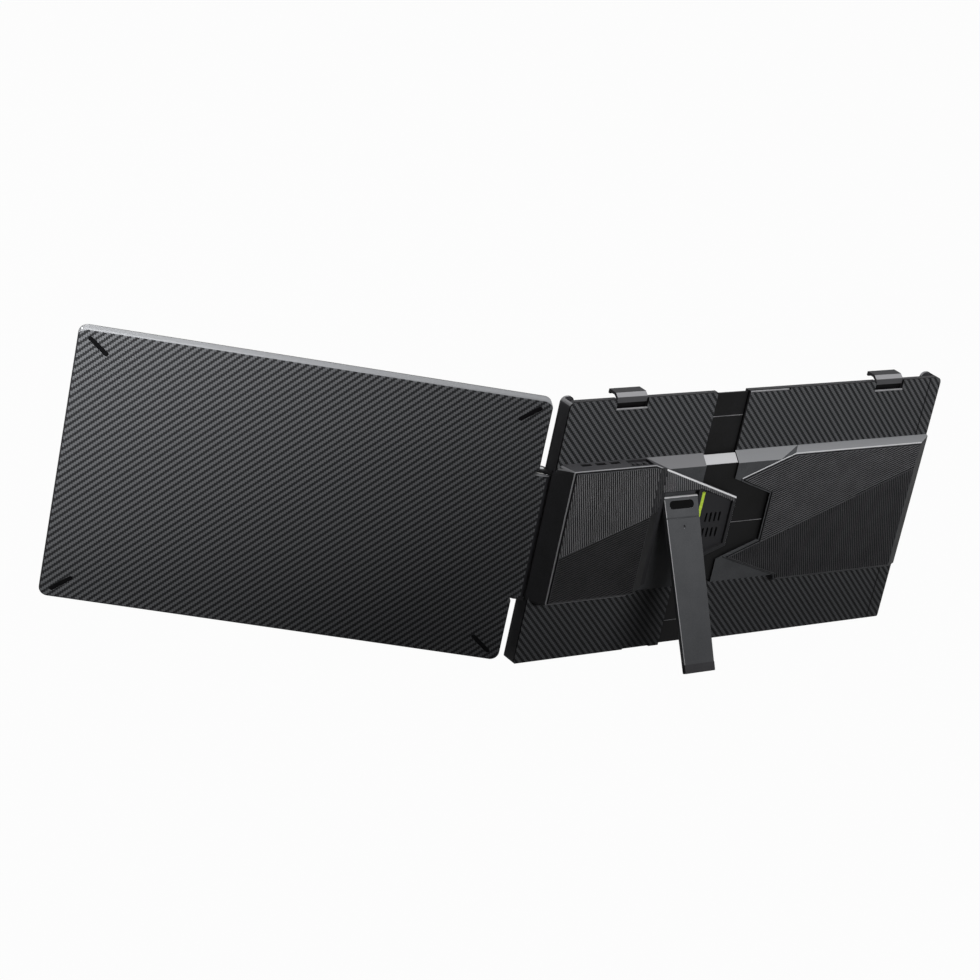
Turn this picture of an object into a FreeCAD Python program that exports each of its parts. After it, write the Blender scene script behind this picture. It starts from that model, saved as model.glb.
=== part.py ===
import FreeCAD, Part
import math
import os

os.makedirs("parts", exist_ok=True)

# All sizes are in millimetres. The bracket plate stands upright: X runs to the right seen from behind,
# Y from the back of the plate to the laptop's side, Z up. The plate's back face is Y = 0.

# Bracket plate
PLATE_H = 220.0
LEFT_W = 145.0
RIGHT_W = 209.5
OPEN_GAP = 32.0
PLATE_CORNER_R = 5.0
PLATE_FOOT_R = 1.5
SKIN_T = 1.2
FRAME_T = 3.8
RUN_GAP = 0.3
TOUCH_GAP = 0.1
EDGE_NOTCH_DEPTH = 1.8
TOP_NOTCH_FROM_EDGE = 1.5
TOP_NOTCH_W = 42.0
LOW_NOTCH_FROM_EDGE = 10.0
LOW_NOTCH_W = 27.0

# Side rails that take the edges of the laptop's lid
RAIL_WALL = 2.2
RAIL_DEPTH = 13.6
RAIL_FLANGE_W = 12.0
RAIL_FLANGE_R = 5.0
RAIL_FLANGE_T = 2.0
PAD_T = 0.8
PAD_W = 70.0
PAD_H = 12.0
PAD_FROM_END = 40.0
PAD_FROM_RAIL = 34.0

# Telescoping members
BAND_Z = 57.0
BAND_H = 112.0
SLEEVE_DEPTH = 7.7
SLEEVE_WALL = 1.4
TONGUE_WALL = 1.3
TONGUE_REACH = 105.0
TONGUE_SEAM_UP = 51.7
TRAY_T = 1.6
TRAY_MARGIN = 1.2
TRAY_HOLD = 45.0
TRAY_REACH = 105.0
TRAY_CAVITY_LENGTH = 145.0
GROOVE_W = 0.8
GROOVE_DEPTH = 0.4
TRAY_GROOVE_FROM_END = 21.0
ROD_R = 1.5
ROD_OUT = 2.4
ROD_SPACING = 56.0
ROD_REACH = 155.0
ROD_RUN_CLEARANCE = 0.05
BLOCK_DEPTH = 4.6
BLOCK_H = 8.0
ANCHOR_LENGTH = 12.0
BUSH_LENGTH = 12.0
BUSH_FROM_EDGE = 8.0
BUSH_PITCH = 60.0

# Lid hooks
HOOK_W = 29.4
HOOK_T = 2.2
HOOK_RISE = 3.8
HOOK_BEVEL = 2.7
HOOK_BEVEL_RUN = 3.3
HOOK_REACH = 13.5
HOOK_LIP = 3.6
HOOK_EDGE_R = 0.5
HOOK_STEP = 0.8
HOOK_STEP_DOWN = 3.5
HOOK_STEM = 36.0
HOOK_SIDE_GAP = 0.4
HOOK_WINDOW = 7.5
LEFT_HOOK_FROM_EDGE = 45.4
RIGHT_HOOK_FROM_EDGE = 43.3
HOOK_SPRING_R = 1.1
HOOK_SPRING_LENGTH = 44.0

# Control housing
HOUSING_X = -0.1
HOUSING_DEPTH = 14.2
HOUSING_DRAFT = 6.5
HOUSING_LIP = 2.4
HOUSING_FOOT_DROP = 4.4
HOUSING_WALL = 1.6
HOUSING_SHOULDER_R = 8.0
HOUSING_CORNER_R = 1.5
HOUSING_EDGE = 0.6
FACE_W = 92.1
FACE_SLOPE_W = 8.0
FACING_T = 0.8
FACING_MARGIN = 1.2
FACING_EDGE = 0.35
BOARD_T = 1.6
BOARD_MARGIN = 5.0
BOARD_OUT = 5.6
POST_R = 2.0
POST_INSET = 8.0
PORT_W = 9.0
PORT_T = 3.2
PORT_FIRST_X = 24.4
PORT_PITCH = 14.0
PORT_LENGTH = 8.0
PORT_SLOT_GAP = 0.25
RECESS_FROM_END = 7.0
RECESS_W = 21.0
RECESS_DEPTH = 2.0
RECESS_RIM = 2.0
BUTTON_R = 1.6
BUTTON_PITCH = 5.6
ROCKER_W = 5.0
BUTTON_GAP = 0.3
BUTTON_PROUD = 1.5
BUTTON_FLANGE = 0.6
BUTTON_FLANGE_T = 0.9
BUTTON_TRAVEL = 0.5
SWITCH_W = 4.0

# Arrow block that carries the kickstand
ARROW_OVERLAP = 14.0
ARROW_REACH = 80.2
ARROW_TIP_DROP = 35.6
ARROW_TIP_RISE = 33.4
ARROW_DEPTH = 12.0
ARROW_EDGE = 1.2
ARROW_NOTCH_GAP = 1.0
ARROW_TIP_GAP = 5.0
VENT_POCKET_RIM = 4.0
VENT_POCKET_FLOOR = 9.8
VENT_W = 1.9
VENT_H = 8.6
VENT_PITCH_X = 4.6
VENT_PITCH_Z = 13.4
VENT_COLUMNS = 4
VENT_FROM_TIP = 12.6
VENT_DROP = 1.8
STRIP_W = 3.8
STRIP_T = 1.4
STRIP_H = 24.5
STRIP_DROP = 2.2
STRIP_FROM_LEG = 4.0

# Kickstand
LEG_W = 30.0
LEG_FLARE = 4.0
LEG_T = 3.6
LEG_LENGTH = 136.4
LEG_FROM_HOUSING = 23.0
LEG_CHANNEL_RIM = 6.2
LEG_AXIS_OUT = 10.2
LEG_SIDE_GAP = 0.4
LEG_TOP_GAP = 4.4
LEG_EDGE_R = 0.7
LEG_OPEN_DEG = 28.6
LEG_PIN_R = 1.1
LEG_PIN_HOLD = 3.2
LEG_PIN_CLEARANCE = 0.05
FOOT_H = 7.0
WINDOW_W = 24.5
WINDOW_H = 6.6
WINDOW_T = 0.6
WINDOW_SUNK = 0.2
WINDOW_FROM_AXIS = 5.2
SEAM_FROM_AXIS = 15.5
SEAM_W = 1.2
SEAM_DEPTH = 0.9
DIMPLE_FROM_AXIS = 22.5
DIMPLE_R = 1.4
DIMPLE_DEPTH = 0.9

# Right cover
COVER_SPLIT_IN = 7.0
COVER_SPLIT_HALF_H = 34.8
COVER_SPLIT_SLOPE = 0.357
COVER_DEPTH = 8.7
COVER_EDGE = 0.5
COVER_TOP_DRAFT = 3.0
COVER_FOOT_DROP = 6.0
COVER_FOOT_IN = 69.0
COVER_END_BEVEL = 12.4
COVER_END_WALL = 2.0
COVER_END_INSET = 0.2
COVER_CAVITY_END = 14.0

# Screen wing
SCREEN_W = 356.0
SCREEN_H = 218.5
SCREEN_T = 9.4
SCREEN_CORNER_R = 7.0
SCREEN_EDGE_R = 1.6
COVER_WALL = 1.6
HINGE_SIDE_WALL = 3.8
BEZEL_T = 1.2
BEZEL_SIDE = 5.9
BEZEL_TOP = 8.4
BEZEL_CHIN = 16.5
PANEL_T = 1.6
BACKLIGHT_T = 3.0
PANEL_GAP = 0.3
SCREEN_BOARD_W = 200.0
SCREEN_BOARD_H = 14.0
SCREEN_BOARD_T = 1.4
SCREEN_BOARD_UP = 12.0
BUMPER_L = 20.0
BUMPER_W = 3.6
BUMPER_T = 0.7
BUMPER_SUNK = 0.2
BUMPER_IN_X = 16.0
BUMPER_IN_Z = 12.5
BUMPER_DEG = 38.4
FOLD_DEG = 30.4

# Hinge between the bracket and the screen
AXIS_OUT = 3.0
CLOSED_GAP = 0.7
SCREEN_TO_AXIS = 2.45
KNUCKLE_Z = 55.0
KNUCKLE_H = 102.5
KNUCKLE_TRIM = 1.4
KNUCKLE_NOSE_T = 5.2
BARREL_R = 4.8
PIN_R = 2.0
PIN_CLEARANCE = 0.05
LUG_R = 4.5
LUG_T = 2.5
LUG_GAP = 0.6
WASHER_R = 4.2
WASHER_T = 0.5
LEAF_W = 18.0
LEAF_T = 1.5
LEAF_BEYOND = 2.0
SCREW_R = 1.2
SCREW_HEAD_R = 2.4
SCREW_HEAD_T = 0.8
SCREW_LENGTH = 3.0
SCREW_IN = 12.0
SCREW_PITCH = 32.0
SCREW_COUNT = 4

# Places worked out from the sizes above
PLATE_T = SKIN_T + FRAME_T
RIGHT_X = LEFT_W + OPEN_GAP
BRACKET_W = RIGHT_X + RIGHT_W
BAND_TOP = BAND_Z + BAND_H
BAND_MID = BAND_Z + BAND_H / 2
TONGUE_DEPTH = SLEEVE_DEPTH - SLEEVE_WALL
TRAY_Y = SKIN_T + RUN_GAP
TRAY_FRONT = TRAY_Y + TRAY_T
SLEEVE_END = LEFT_W - SLEEVE_WALL
FACE_END_X = HOUSING_X + FACE_W
HOUSING_END = FACE_END_X + FACE_SLOPE_W
AXIS_X = -AXIS_OUT
AXIS_Y = RAIL_DEPTH + CLOSED_GAP
SCREEN_X1 = AXIS_X - SCREEN_TO_AXIS
SCREEN_X0 = SCREEN_X1 - SCREEN_W
SCREEN_BACK = AXIS_Y - SCREEN_T
BEZEL_BACK = AXIS_Y - BEZEL_T
PANEL_BACK = BEZEL_BACK - PANEL_T
LOW_LUG_Z = KNUCKLE_Z - LUG_GAP - LUG_T
HIGH_LUG_Z = KNUCKLE_Z + KNUCKLE_H + LUG_GAP
LEAF_Z = (LOW_LUG_Z - LEAF_BEYOND, HIGH_LUG_Z + LUG_T + LEAF_BEYOND)
ARROW_START_X = HOUSING_END - ARROW_OVERLAP
ARROW_TIP_X = HOUSING_END + ARROW_REACH
ARROW_SLOPE = ARROW_TIP_DROP / (ARROW_TIP_X - ARROW_START_X)
ARROW_LOW_SLOPE = ARROW_TIP_RISE / (ARROW_TIP_X - ARROW_START_X)
LEG_CENTRE_X = HOUSING_END + LEG_FROM_HOUSING
LEG_FOOT_X = (LEG_CENTRE_X - LEG_W / 2, LEG_CENTRE_X + LEG_W / 2)
LEG_TOP_X = (LEG_FOOT_X[0] - LEG_FLARE, LEG_FOOT_X[1])
LEG_TOP_CENTRE_X = (LEG_TOP_X[0] + LEG_TOP_X[1]) / 2
LEG_CHANNEL = (LEG_TOP_X[0] - LEG_SIDE_GAP, LEG_TOP_X[1] + LEG_SIDE_GAP)
LEG_CHANNEL_TOP = BAND_TOP - ARROW_SLOPE * (LEG_CHANNEL[1] - ARROW_START_X) - LEG_CHANNEL_RIM
LEG_AXIS_Z = LEG_CHANNEL_TOP - LEG_TOP_GAP - LEG_T / 2
COVER_SPLIT_X = RIGHT_X + COVER_SPLIT_IN
COVER_FOOT_X = RIGHT_X + COVER_FOOT_IN
TONGUE_SEAM_Z = BAND_Z + TONGUE_SEAM_UP
RECESS_X = FACE_END_X - RECESS_FROM_END - RECESS_W
RECESS_FLOOR = BAND_TOP - RECESS_DEPTH
RECESS_Y = (-HOUSING_DEPTH + RECESS_RIM, -RECESS_RIM)
RECESS_MID_Y = (RECESS_Y[0] + RECESS_Y[1]) / 2
BUTTON_MID_X = RECESS_X + RECESS_W / 2
BUTTON_FLANGE_Z = RECESS_FLOOR - HOUSING_WALL - TOUCH_GAP - BUTTON_FLANGE_T
HOOK_Y = SKIN_T + HOOK_SIDE_GAP
HOOK_TOP = PLATE_H + HOOK_RISE
HOOK_FOOT = PLATE_H - HOOK_STEM
ROD_ZS = (BAND_MID - ROD_SPACING / 2, BAND_MID + ROD_SPACING / 2)
ANCHOR_X = HOUSING_END
BUSH_X = RIGHT_X + BUSH_FROM_EDGE

X_AXIS = FreeCAD.Vector(1, 0, 0)
Y_AXIS = FreeCAD.Vector(0, 1, 0)
Z_AXIS = FreeCAD.Vector(0, 0, 1)
BEYOND = 50.0
SAME_PLACE = 0.01


def box(x, y, z):
    """Block between a low and a high value on each axis."""
    corner = FreeCAD.Vector(min(x), min(y), min(z))
    return Part.makeBox(abs(x[1] - x[0]), abs(y[1] - y[0]), abs(z[1] - z[0]), corner)


def prism(points, axis, low, high):
    """Polygon across one axis, carried along that axis from low to high."""
    if axis == "x":
        corners = [FreeCAD.Vector(low, a, b) for a, b in points]
        along = X_AXIS * (high - low)
    elif axis == "y":
        corners = [FreeCAD.Vector(a, low, b) for a, b in points]
        along = Y_AXIS * (high - low)
    else:
        corners = [FreeCAD.Vector(a, b, low) for a, b in points]
        along = Z_AXIS * (high - low)
    return Part.Face(Part.makePolygon(corners + corners[:1])).extrude(along)


def rod(x, y, z, direction, radius, length):
    """Round bar from a point along a direction."""
    return Part.makeCylinder(radius, length, FreeCAD.Vector(x, y, z), direction)


def slab(x, y, z, radius):
    """Block with its four corners rounded in the XZ plane."""
    block = box(x, y, z)
    return block.makeFillet(radius, [e for e in block.Edges if runs_along(e, Y_AXIS)])


def pill(x, y, z, length, width, degrees=0.0):
    """Slot-shaped tablet in the XZ plane, turned about its middle."""
    half = (length - width) / 2
    body = box((-half, half), y, (-width / 2, width / 2))
    for end in (-half, half):
        body = body.fuse(rod(end, min(y), 0, Y_AXIS, width / 2, abs(y[1] - y[0])))
    body = body.removeSplitter()
    body.rotate(FreeCAD.Vector(0, 0, 0), Y_AXIS, degrees)
    body.translate(FreeCAD.Vector(x, 0, z))
    return body


def turned(shape, point, axis, degrees):
    """Copy of a shape turned about an axis through a point."""
    copy = shape.copy()
    copy.rotate(point, axis, degrees)
    return copy


def group(shapes):
    """Separate like solids kept together as one node."""
    return Part.makeCompound(shapes)


def runs_along(edge, axis):
    """True for an edge whose direction is that of an axis."""
    return abs(edge.tangentAt(edge.FirstParameter).dot(axis)) > 1.0 - SAME_PLACE


def rim(shape, level, right_of=-math.inf):
    """Edges that lie in the plane Y = level, without those that lie wholly left of a given X."""
    edges = [e for e in shape.Edges if max(abs(v.Y - level) for v in e.Vertexes) < SAME_PLACE]
    return [e for e in edges if max(v.X for v in e.Vertexes) > right_of + SAME_PLACE]


# Bracket plates, frames and rails

def plate_outline(x):
    """Rounded outline that trims the outer corners of one half of the bracket."""
    block = box(x, (-BEYOND, BEYOND), (0, PLATE_H))
    corners = [e for e in block.Edges if runs_along(e, Y_AXIS)]
    block = block.makeFillet(PLATE_CORNER_R, [e for e in corners if e.Vertexes[0].Z > PLATE_H / 2])
    corners = [e for e in block.Edges if runs_along(e, Y_AXIS)]
    return block.makeFillet(PLATE_FOOT_R, [e for e in corners if e.Vertexes[0].Z < PLATE_FOOT_R])


LEFT_OUTLINE = plate_outline((0, LEFT_W + BEYOND))
RIGHT_OUTLINE = plate_outline((RIGHT_X - BEYOND, BRACKET_W))


def hook_x(start):
    """Span of a hook across the plate."""
    return (start, start + HOOK_W)


LEFT_HOOK_X = hook_x(LEFT_HOOK_FROM_EDGE)
RIGHT_HOOK_X = hook_x(BRACKET_W - RIGHT_HOOK_FROM_EDGE - HOOK_W)


def widened(span, margin):
    """Span with a margin added at both ends."""
    return (span[0] - margin, span[1] + margin)


def hook_window(span):
    """Opening in the skin where a hook's stem shows."""
    return box(widened(span, HOOK_SIDE_GAP), (-BEYOND, SKIN_T), (PLATE_H - HOOK_WINDOW, PLATE_H + BEYOND))


def hook_pocket(span):
    """Guide for a hook's stem in the frame, with the channel of its spring and a relief at the top edge."""
    guide_y = (SKIN_T, HOOK_Y + HOOK_T + RUN_GAP)
    guide = box(widened(span, HOOK_SIDE_GAP), guide_y, (HOOK_FOOT - HOOK_SIDE_GAP, PLATE_H + BEYOND))
    middle = (span[0] + span[1]) / 2
    channel_x = widened((middle, middle), HOOK_SPRING_R + RUN_GAP)
    channel = box(channel_x, guide_y, (HOOK_FOOT - HOOK_SPRING_LENGTH, HOOK_FOOT))
    relief_z = (PLATE_H - HOOK_T, PLATE_H + BEYOND)
    relief = box(widened(span, HOOK_SIDE_GAP), (SKIN_T, PLATE_T + BEYOND), relief_z)
    return guide.fuse([channel, relief])


def left_back_plate():
    skin = box((0, LEFT_W), (0, SKIN_T), (0, PLATE_H))
    notch_x1 = LEFT_W - LOW_NOTCH_FROM_EDGE
    notch = box((notch_x1 - LOW_NOTCH_W, notch_x1), (-BEYOND, BEYOND), (-BEYOND, EDGE_NOTCH_DEPTH))
    return skin.cut(hook_window(LEFT_HOOK_X)).cut(notch).common(LEFT_OUTLINE)


def right_back_plate():
    skin = box((RIGHT_X, BRACKET_W), (0, SKIN_T), (0, PLATE_H))
    notch_x0 = RIGHT_X + TOP_NOTCH_FROM_EDGE
    notch_z = (PLATE_H - EDGE_NOTCH_DEPTH, PLATE_H + BEYOND)
    notch = box((notch_x0, notch_x0 + TOP_NOTCH_W), (-BEYOND, BEYOND), notch_z)
    return skin.cut(hook_window(RIGHT_HOOK_X)).cut(notch).common(RIGHT_OUTLINE)


def left_frame():
    plate = box((RAIL_WALL, LEFT_W), (SKIN_T, PLATE_T), (0, PLATE_H))
    leaf = box((0, LEAF_W), (PLATE_T - LEAF_T, PLATE_T), LEAF_Z)
    tray = box((LEFT_W - TRAY_HOLD, LEFT_W), (SKIN_T, TRAY_FRONT), (TRAY_MARGIN, PLATE_H - TRAY_MARGIN))
    plate = plate.cut(leaf).cut(tray).cut(hook_pocket(LEFT_HOOK_X))
    for z in screw_zs():
        plate = plate.cut(rod(SCREW_IN, PLATE_T, z, -Y_AXIS, SCREW_R, SCREW_LENGTH))
    return plate.common(LEFT_OUTLINE)


def right_frame():
    plate = box((RIGHT_X, BRACKET_W - RAIL_WALL), (SKIN_T, PLATE_T), (0, PLATE_H))
    cavity_z = (TRAY_MARGIN - RUN_GAP, PLATE_H - TRAY_MARGIN + RUN_GAP)
    cavity = box((RIGHT_X, RIGHT_X + TRAY_CAVITY_LENGTH - OPEN_GAP), (SKIN_T, TRAY_FRONT + RUN_GAP), cavity_z)
    return plate.cut(cavity).cut(hook_pocket(RIGHT_HOOK_X)).common(RIGHT_OUTLINE)


def rail(x_outer, inward):
    """Channel with a wall at the plate's edge and a flange turned inwards in front of the lid."""
    wall = box((x_outer, x_outer + inward * RAIL_WALL), (SKIN_T, RAIL_DEPTH), (0, PLATE_H))
    flange_y = (RAIL_DEPTH - RAIL_FLANGE_T, RAIL_DEPTH)
    flange_x = (x_outer - inward * RAIL_FLANGE_R, x_outer + inward * RAIL_FLANGE_W)
    flange = slab(flange_x, flange_y, (0, PLATE_H), RAIL_FLANGE_R)
    return wall.fuse(flange).removeSplitter()


def left_side_rail():
    x = (-BEYOND, RAIL_FLANGE_W + BEYOND)
    leaf_seat = box(x, (PLATE_T - LEAF_T, PLATE_T), LEAF_Z)
    hinge_gap = box(x, (PLATE_T, BEYOND), (LOW_LUG_Z, HIGH_LUG_Z + LUG_T))
    return rail(0, 1).cut(leaf_seat).cut(hinge_gap).common(LEFT_OUTLINE)


def right_side_rail():
    return rail(BRACKET_W, -1).common(RIGHT_OUTLINE)


def lid_pads(x):
    """Two rubber pads on the front of one half."""
    y = (PLATE_T, PLATE_T + PAD_T)
    low = box(x, y, (PAD_FROM_END, PAD_FROM_END + PAD_H))
    high = box(x, y, (PLATE_H - PAD_FROM_END - PAD_H, PLATE_H - PAD_FROM_END))
    return group([low, high])


def left_lid_pads():
    return lid_pads((PAD_FROM_RAIL, PAD_FROM_RAIL + PAD_W))


def right_lid_pads():
    return lid_pads((BRACKET_W - PAD_FROM_RAIL - PAD_W, BRACKET_W - PAD_FROM_RAIL))


# Lid hooks

def hook(span):
    """Stepped stem in the frame, bevelled shoulder, top over the lid and a short lip in front of it."""
    inner_y = HOOK_Y + HOOK_T
    under = HOOK_TOP - HOOK_T
    lip_y = HOOK_REACH - HOOK_T
    step_z = PLATE_H - HOOK_STEP_DOWN
    profile = [
        (HOOK_Y + HOOK_STEP, HOOK_FOOT),
        (HOOK_Y + HOOK_STEP, step_z),
        (HOOK_Y, step_z),
        (HOOK_Y, HOOK_TOP - HOOK_BEVEL),
        (HOOK_Y + HOOK_BEVEL_RUN, HOOK_TOP),
        (HOOK_REACH, HOOK_TOP),
        (HOOK_REACH, HOOK_TOP - HOOK_LIP),
        (lip_y, HOOK_TOP - HOOK_LIP),
        (lip_y, under),
        (HOOK_Y + HOOK_BEVEL_RUN + HOOK_T / 2, under),
        (inner_y, HOOK_TOP - HOOK_BEVEL - HOOK_T / 2),
        (inner_y, HOOK_FOOT),
    ]
    body = prism(profile, "x", span[0], span[1])
    bends = [e for e in body.Edges if runs_along(e, X_AXIS) and e.Vertexes[0].Z > PLATE_H]
    return body.makeFillet(HOOK_EDGE_R, bends)


def hook_spring(span):
    """Coil spring that pulls a hook down, as a plain bar in its channel."""
    middle = (span[0] + span[1]) / 2
    y = HOOK_Y + HOOK_T / 2
    return rod(middle, y, HOOK_FOOT - HOOK_SPRING_LENGTH, Z_AXIS, HOOK_SPRING_R, HOOK_SPRING_LENGTH)


# Telescoping members

def band_profile(depth, inset, base=0.0):
    """Section of the band: square below, bevelled at 45 degrees above, with all faces drawn in by inset."""
    return [
        (-base, BAND_TOP - inset - base),
        (-depth, BAND_TOP - inset - depth),
        (-depth, BAND_Z + inset),
        (-base, BAND_Z + inset),
    ]


def tongue_outer(x0, x1, base=0.0):
    return prism(band_profile(TONGUE_DEPTH, SLEEVE_WALL, base), "x", x0, x1)


def slide_sleeve():
    skin = prism(band_profile(SLEEVE_DEPTH, 0.0), "x", ARROW_START_X, SLEEVE_END)
    skin = skin.cut(tongue_outer(ARROW_START_X, SLEEVE_END))
    return skin.cut(housing_outer())


def slide_tongue():
    end = LEFT_W + TONGUE_REACH
    body = tongue_outer(HOUSING_END, end, RUN_GAP)
    depth = TONGUE_DEPTH - TONGUE_WALL
    body = body.cut(prism(band_profile(depth, SLEEVE_WALL + TONGUE_WALL), "x", HOUSING_END, end))
    groove_y = (-TONGUE_DEPTH, -TONGUE_DEPTH + GROOVE_DEPTH)
    groove_z = widened((TONGUE_SEAM_Z, TONGUE_SEAM_Z), GROOVE_W / 2)
    return body.cut(box((SLEEVE_END, end), groove_y, groove_z))


def slide_tray():
    x = (LEFT_W - TRAY_HOLD, LEFT_W + TRAY_REACH)
    tray = box(x, (TRAY_Y, TRAY_FRONT), (TRAY_MARGIN, PLATE_H - TRAY_MARGIN))
    for z in (TRAY_GROOVE_FROM_END, PLATE_H - TRAY_GROOVE_FROM_END):
        tray = tray.cut(box(x, (TRAY_Y, TRAY_Y + GROOVE_DEPTH), widened((z, z), GROOVE_W / 2)))
    return tray


def guide_rods():
    length = LEFT_W + ROD_REACH - ANCHOR_X
    return group([rod(ANCHOR_X, -ROD_OUT, z, X_AXIS, ROD_R, length) for z in ROD_ZS])


def carrier_block(x, z, length, bore_r):
    """Block on the plate's back that holds or guides one rod."""
    block = box((x, x + length), (-BLOCK_DEPTH, 0), widened((z, z), BLOCK_H / 2))
    return block.cut(rod(x, -ROD_OUT, z, X_AXIS, bore_r, length))


def rod_anchors():
    return group([carrier_block(ANCHOR_X, z, ANCHOR_LENGTH, ROD_R) for z in ROD_ZS])


def rod_bushes():
    bore_r = ROD_R + ROD_RUN_CLEARANCE
    places = [(BUSH_X + step, z) for step in (0.0, BUSH_PITCH) for z in ROD_ZS]
    return group([carrier_block(x, z, BUSH_LENGTH, bore_r) for x, z in places])


# Control housing and what it holds

def corner_wedge(y, inset):
    """Material above and below the arrow's lines, drawn in by inset, that the housing's end leaves out."""
    far = HOUSING_END + BEYOND
    high_start = BAND_TOP - inset
    low_start = BAND_Z + inset
    run = far - ARROW_START_X
    above = [
        (ARROW_START_X, high_start),
        (far, high_start - ARROW_SLOPE * run),
        (far, BAND_TOP + BEYOND),
        (ARROW_START_X, BAND_TOP + BEYOND),
    ]
    below = [
        (ARROW_START_X, low_start),
        (far, low_start + ARROW_LOW_SLOPE * run),
        (far, BAND_Z - BEYOND),
        (ARROW_START_X, BAND_Z - BEYOND),
    ]
    return prism(above, "y", y[0], y[1]).fuse(prism(below, "y", y[0], y[1]))


def housing_block(wall):
    """Outer form of the housing drawn in by a wall: drafted left side and foot, sloped right end.
    The left side runs on past the plate's back as a lip over the plate's edge."""
    depth = HOUSING_DEPTH - wall
    top = BAND_TOP - wall
    lip_share = HOUSING_LIP / HOUSING_DEPTH
    lip_x = HOUSING_X - HOUSING_DRAFT * lip_share
    foot = BAND_Z - HOUSING_FOOT_DROP * (1 + lip_share) + wall
    profile = [
        (lip_x + wall, HOUSING_LIP),
        (HOUSING_X + wall + HOUSING_DRAFT, -depth),
        (FACE_END_X - wall / 2, -depth),
        (HOUSING_END - wall, -(ARROW_DEPTH - wall)),
        (HOUSING_END - wall, HOUSING_LIP),
    ]
    section = [(HOUSING_LIP, foot), (-depth, BAND_Z + wall), (-depth, top), (HOUSING_LIP, top)]
    return prism(profile, "z", foot, top).common(prism(section, "x", lip_x, HOUSING_END))


def is_shoulder(edge):
    """True for the housing's top and bottom left edges, which run from the plate to the face."""
    ends = edge.Vertexes
    slanted = abs(ends[0].X - ends[1].X) > SAME_PLACE and abs(ends[0].Y - ends[1].Y) > SAME_PLACE
    return slanted and max(v.X for v in ends) < FACE_END_X


def round_shoulders(block):
    """Block with its left edges rounded, widely at the plate and tightly at the face."""
    for high in (True, False):
        edge = [e for e in block.Edges if is_shoulder(e) and (e.CenterOfMass.z > BAND_MID) == high][0]
        radii = [HOUSING_SHOULDER_R, HOUSING_CORNER_R]
        if edge.valueAt(edge.FirstParameter).y < -HOUSING_DEPTH / 2:
            radii.reverse()
        block = block.makeFillet(radii[0], radii[1], [edge])
    return block


def housing_outer():
    plates = box((0, HOUSING_END), (0, HOUSING_LIP), (0, PLATE_H))
    block = round_shoulders(housing_block(0.0)).cut(corner_wedge((-BEYOND, BEYOND), 0.0)).cut(plates)
    return block.makeChamfer(HOUSING_EDGE, rim(block, -HOUSING_DEPTH))


def button_xs():
    return [BUTTON_MID_X - BUTTON_PITCH, BUTTON_MID_X, BUTTON_MID_X + BUTTON_PITCH]


def button_prism(x, margin, z0, z1, wide=0.0):
    """Round or stadium-shaped column for a button, grown by a margin."""
    r = BUTTON_R + margin
    half = wide / 2
    column = rod(x - half, RECESS_MID_Y, z0, Z_AXIS, r, z1 - z0)
    if half > 0:
        bar = box((x - half, x + half), (RECESS_MID_Y - r, RECESS_MID_Y + r), (z0, z1))
        column = column.fuse([rod(x + half, RECESS_MID_Y, z0, Z_AXIS, r, z1 - z0), bar]).removeSplitter()
    return column


def button(x, wide=0.0):
    """Cap with a flange that keeps it under the recess floor."""
    cap = button_prism(x, 0.0, BUTTON_FLANGE_Z, RECESS_FLOOR + BUTTON_PROUD, wide)
    flange = button_prism(x, BUTTON_FLANGE, BUTTON_FLANGE_Z, BUTTON_FLANGE_Z + BUTTON_FLANGE_T, wide)
    return cap.fuse(flange).removeSplitter()


def rocker_width():
    return ROCKER_W - 2 * BUTTON_R


def button_widths():
    return [0.0, rocker_width(), 0.0]


def port_xs():
    return [PORT_FIRST_X + PORT_PITCH * i for i in range(3)]


def port_y():
    return (-BOARD_OUT, -BOARD_OUT + PORT_T)


def board_span():
    x0 = HOUSING_X + HOUSING_DRAFT + HOUSING_WALL + BOARD_MARGIN
    x = (x0, HOUSING_END - HOUSING_WALL - 2 * BOARD_MARGIN)
    z = (BAND_Z + HOUSING_WALL + BOARD_MARGIN, BUTTON_FLANGE_Z - BUTTON_TRAVEL - SWITCH_W / 2)
    return x, z


def board_posts():
    """Four posts that carry the board off the housing's face."""
    x, z = board_span()
    start = -HOUSING_DEPTH + HOUSING_WALL / 2
    length = HOUSING_DEPTH - HOUSING_WALL / 2 - BOARD_OUT - BOARD_T
    places = [(a, b) for a in widened(x, -POST_INSET) for b in widened(z, -POST_INSET)]
    return [rod(a, start, b, Y_AXIS, POST_R, length) for a, b in places]


def control_housing():
    cavity = housing_block(HOUSING_WALL).cut(corner_wedge((-BEYOND, BEYOND), HOUSING_WALL))
    cavity = cavity.common(box((HOUSING_WALL, HOUSING_END), (-HOUSING_DEPTH, 0), (0, PLATE_H)))
    shell = housing_outer().cut(cavity)
    floor_x = widened((RECESS_X, RECESS_X + RECESS_W), HOUSING_WALL)
    floor = box(floor_x, (-HOUSING_DEPTH, 0), (RECESS_FLOOR - HOUSING_WALL, BAND_TOP))
    shell = shell.fuse(board_posts() + [floor.common(housing_outer())])
    shell = shell.cut(box((RECESS_X, RECESS_X + RECESS_W), RECESS_Y, (RECESS_FLOOR, BAND_TOP + BEYOND)))
    for x in port_xs():
        slot_x = widened((x - PORT_W / 2, x + PORT_W / 2), PORT_SLOT_GAP)
        slot_y = widened(port_y(), PORT_SLOT_GAP)
        shell = shell.cut(box(slot_x, slot_y, (BAND_TOP - HOUSING_WALL, BAND_TOP + BEYOND)))
    for x, wide in zip(button_xs(), button_widths()):
        shell = shell.cut(button_prism(x, BUTTON_GAP, RECESS_FLOOR - BEYOND / 10, RECESS_FLOOR, wide))
    return shell.removeSplitter()


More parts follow.
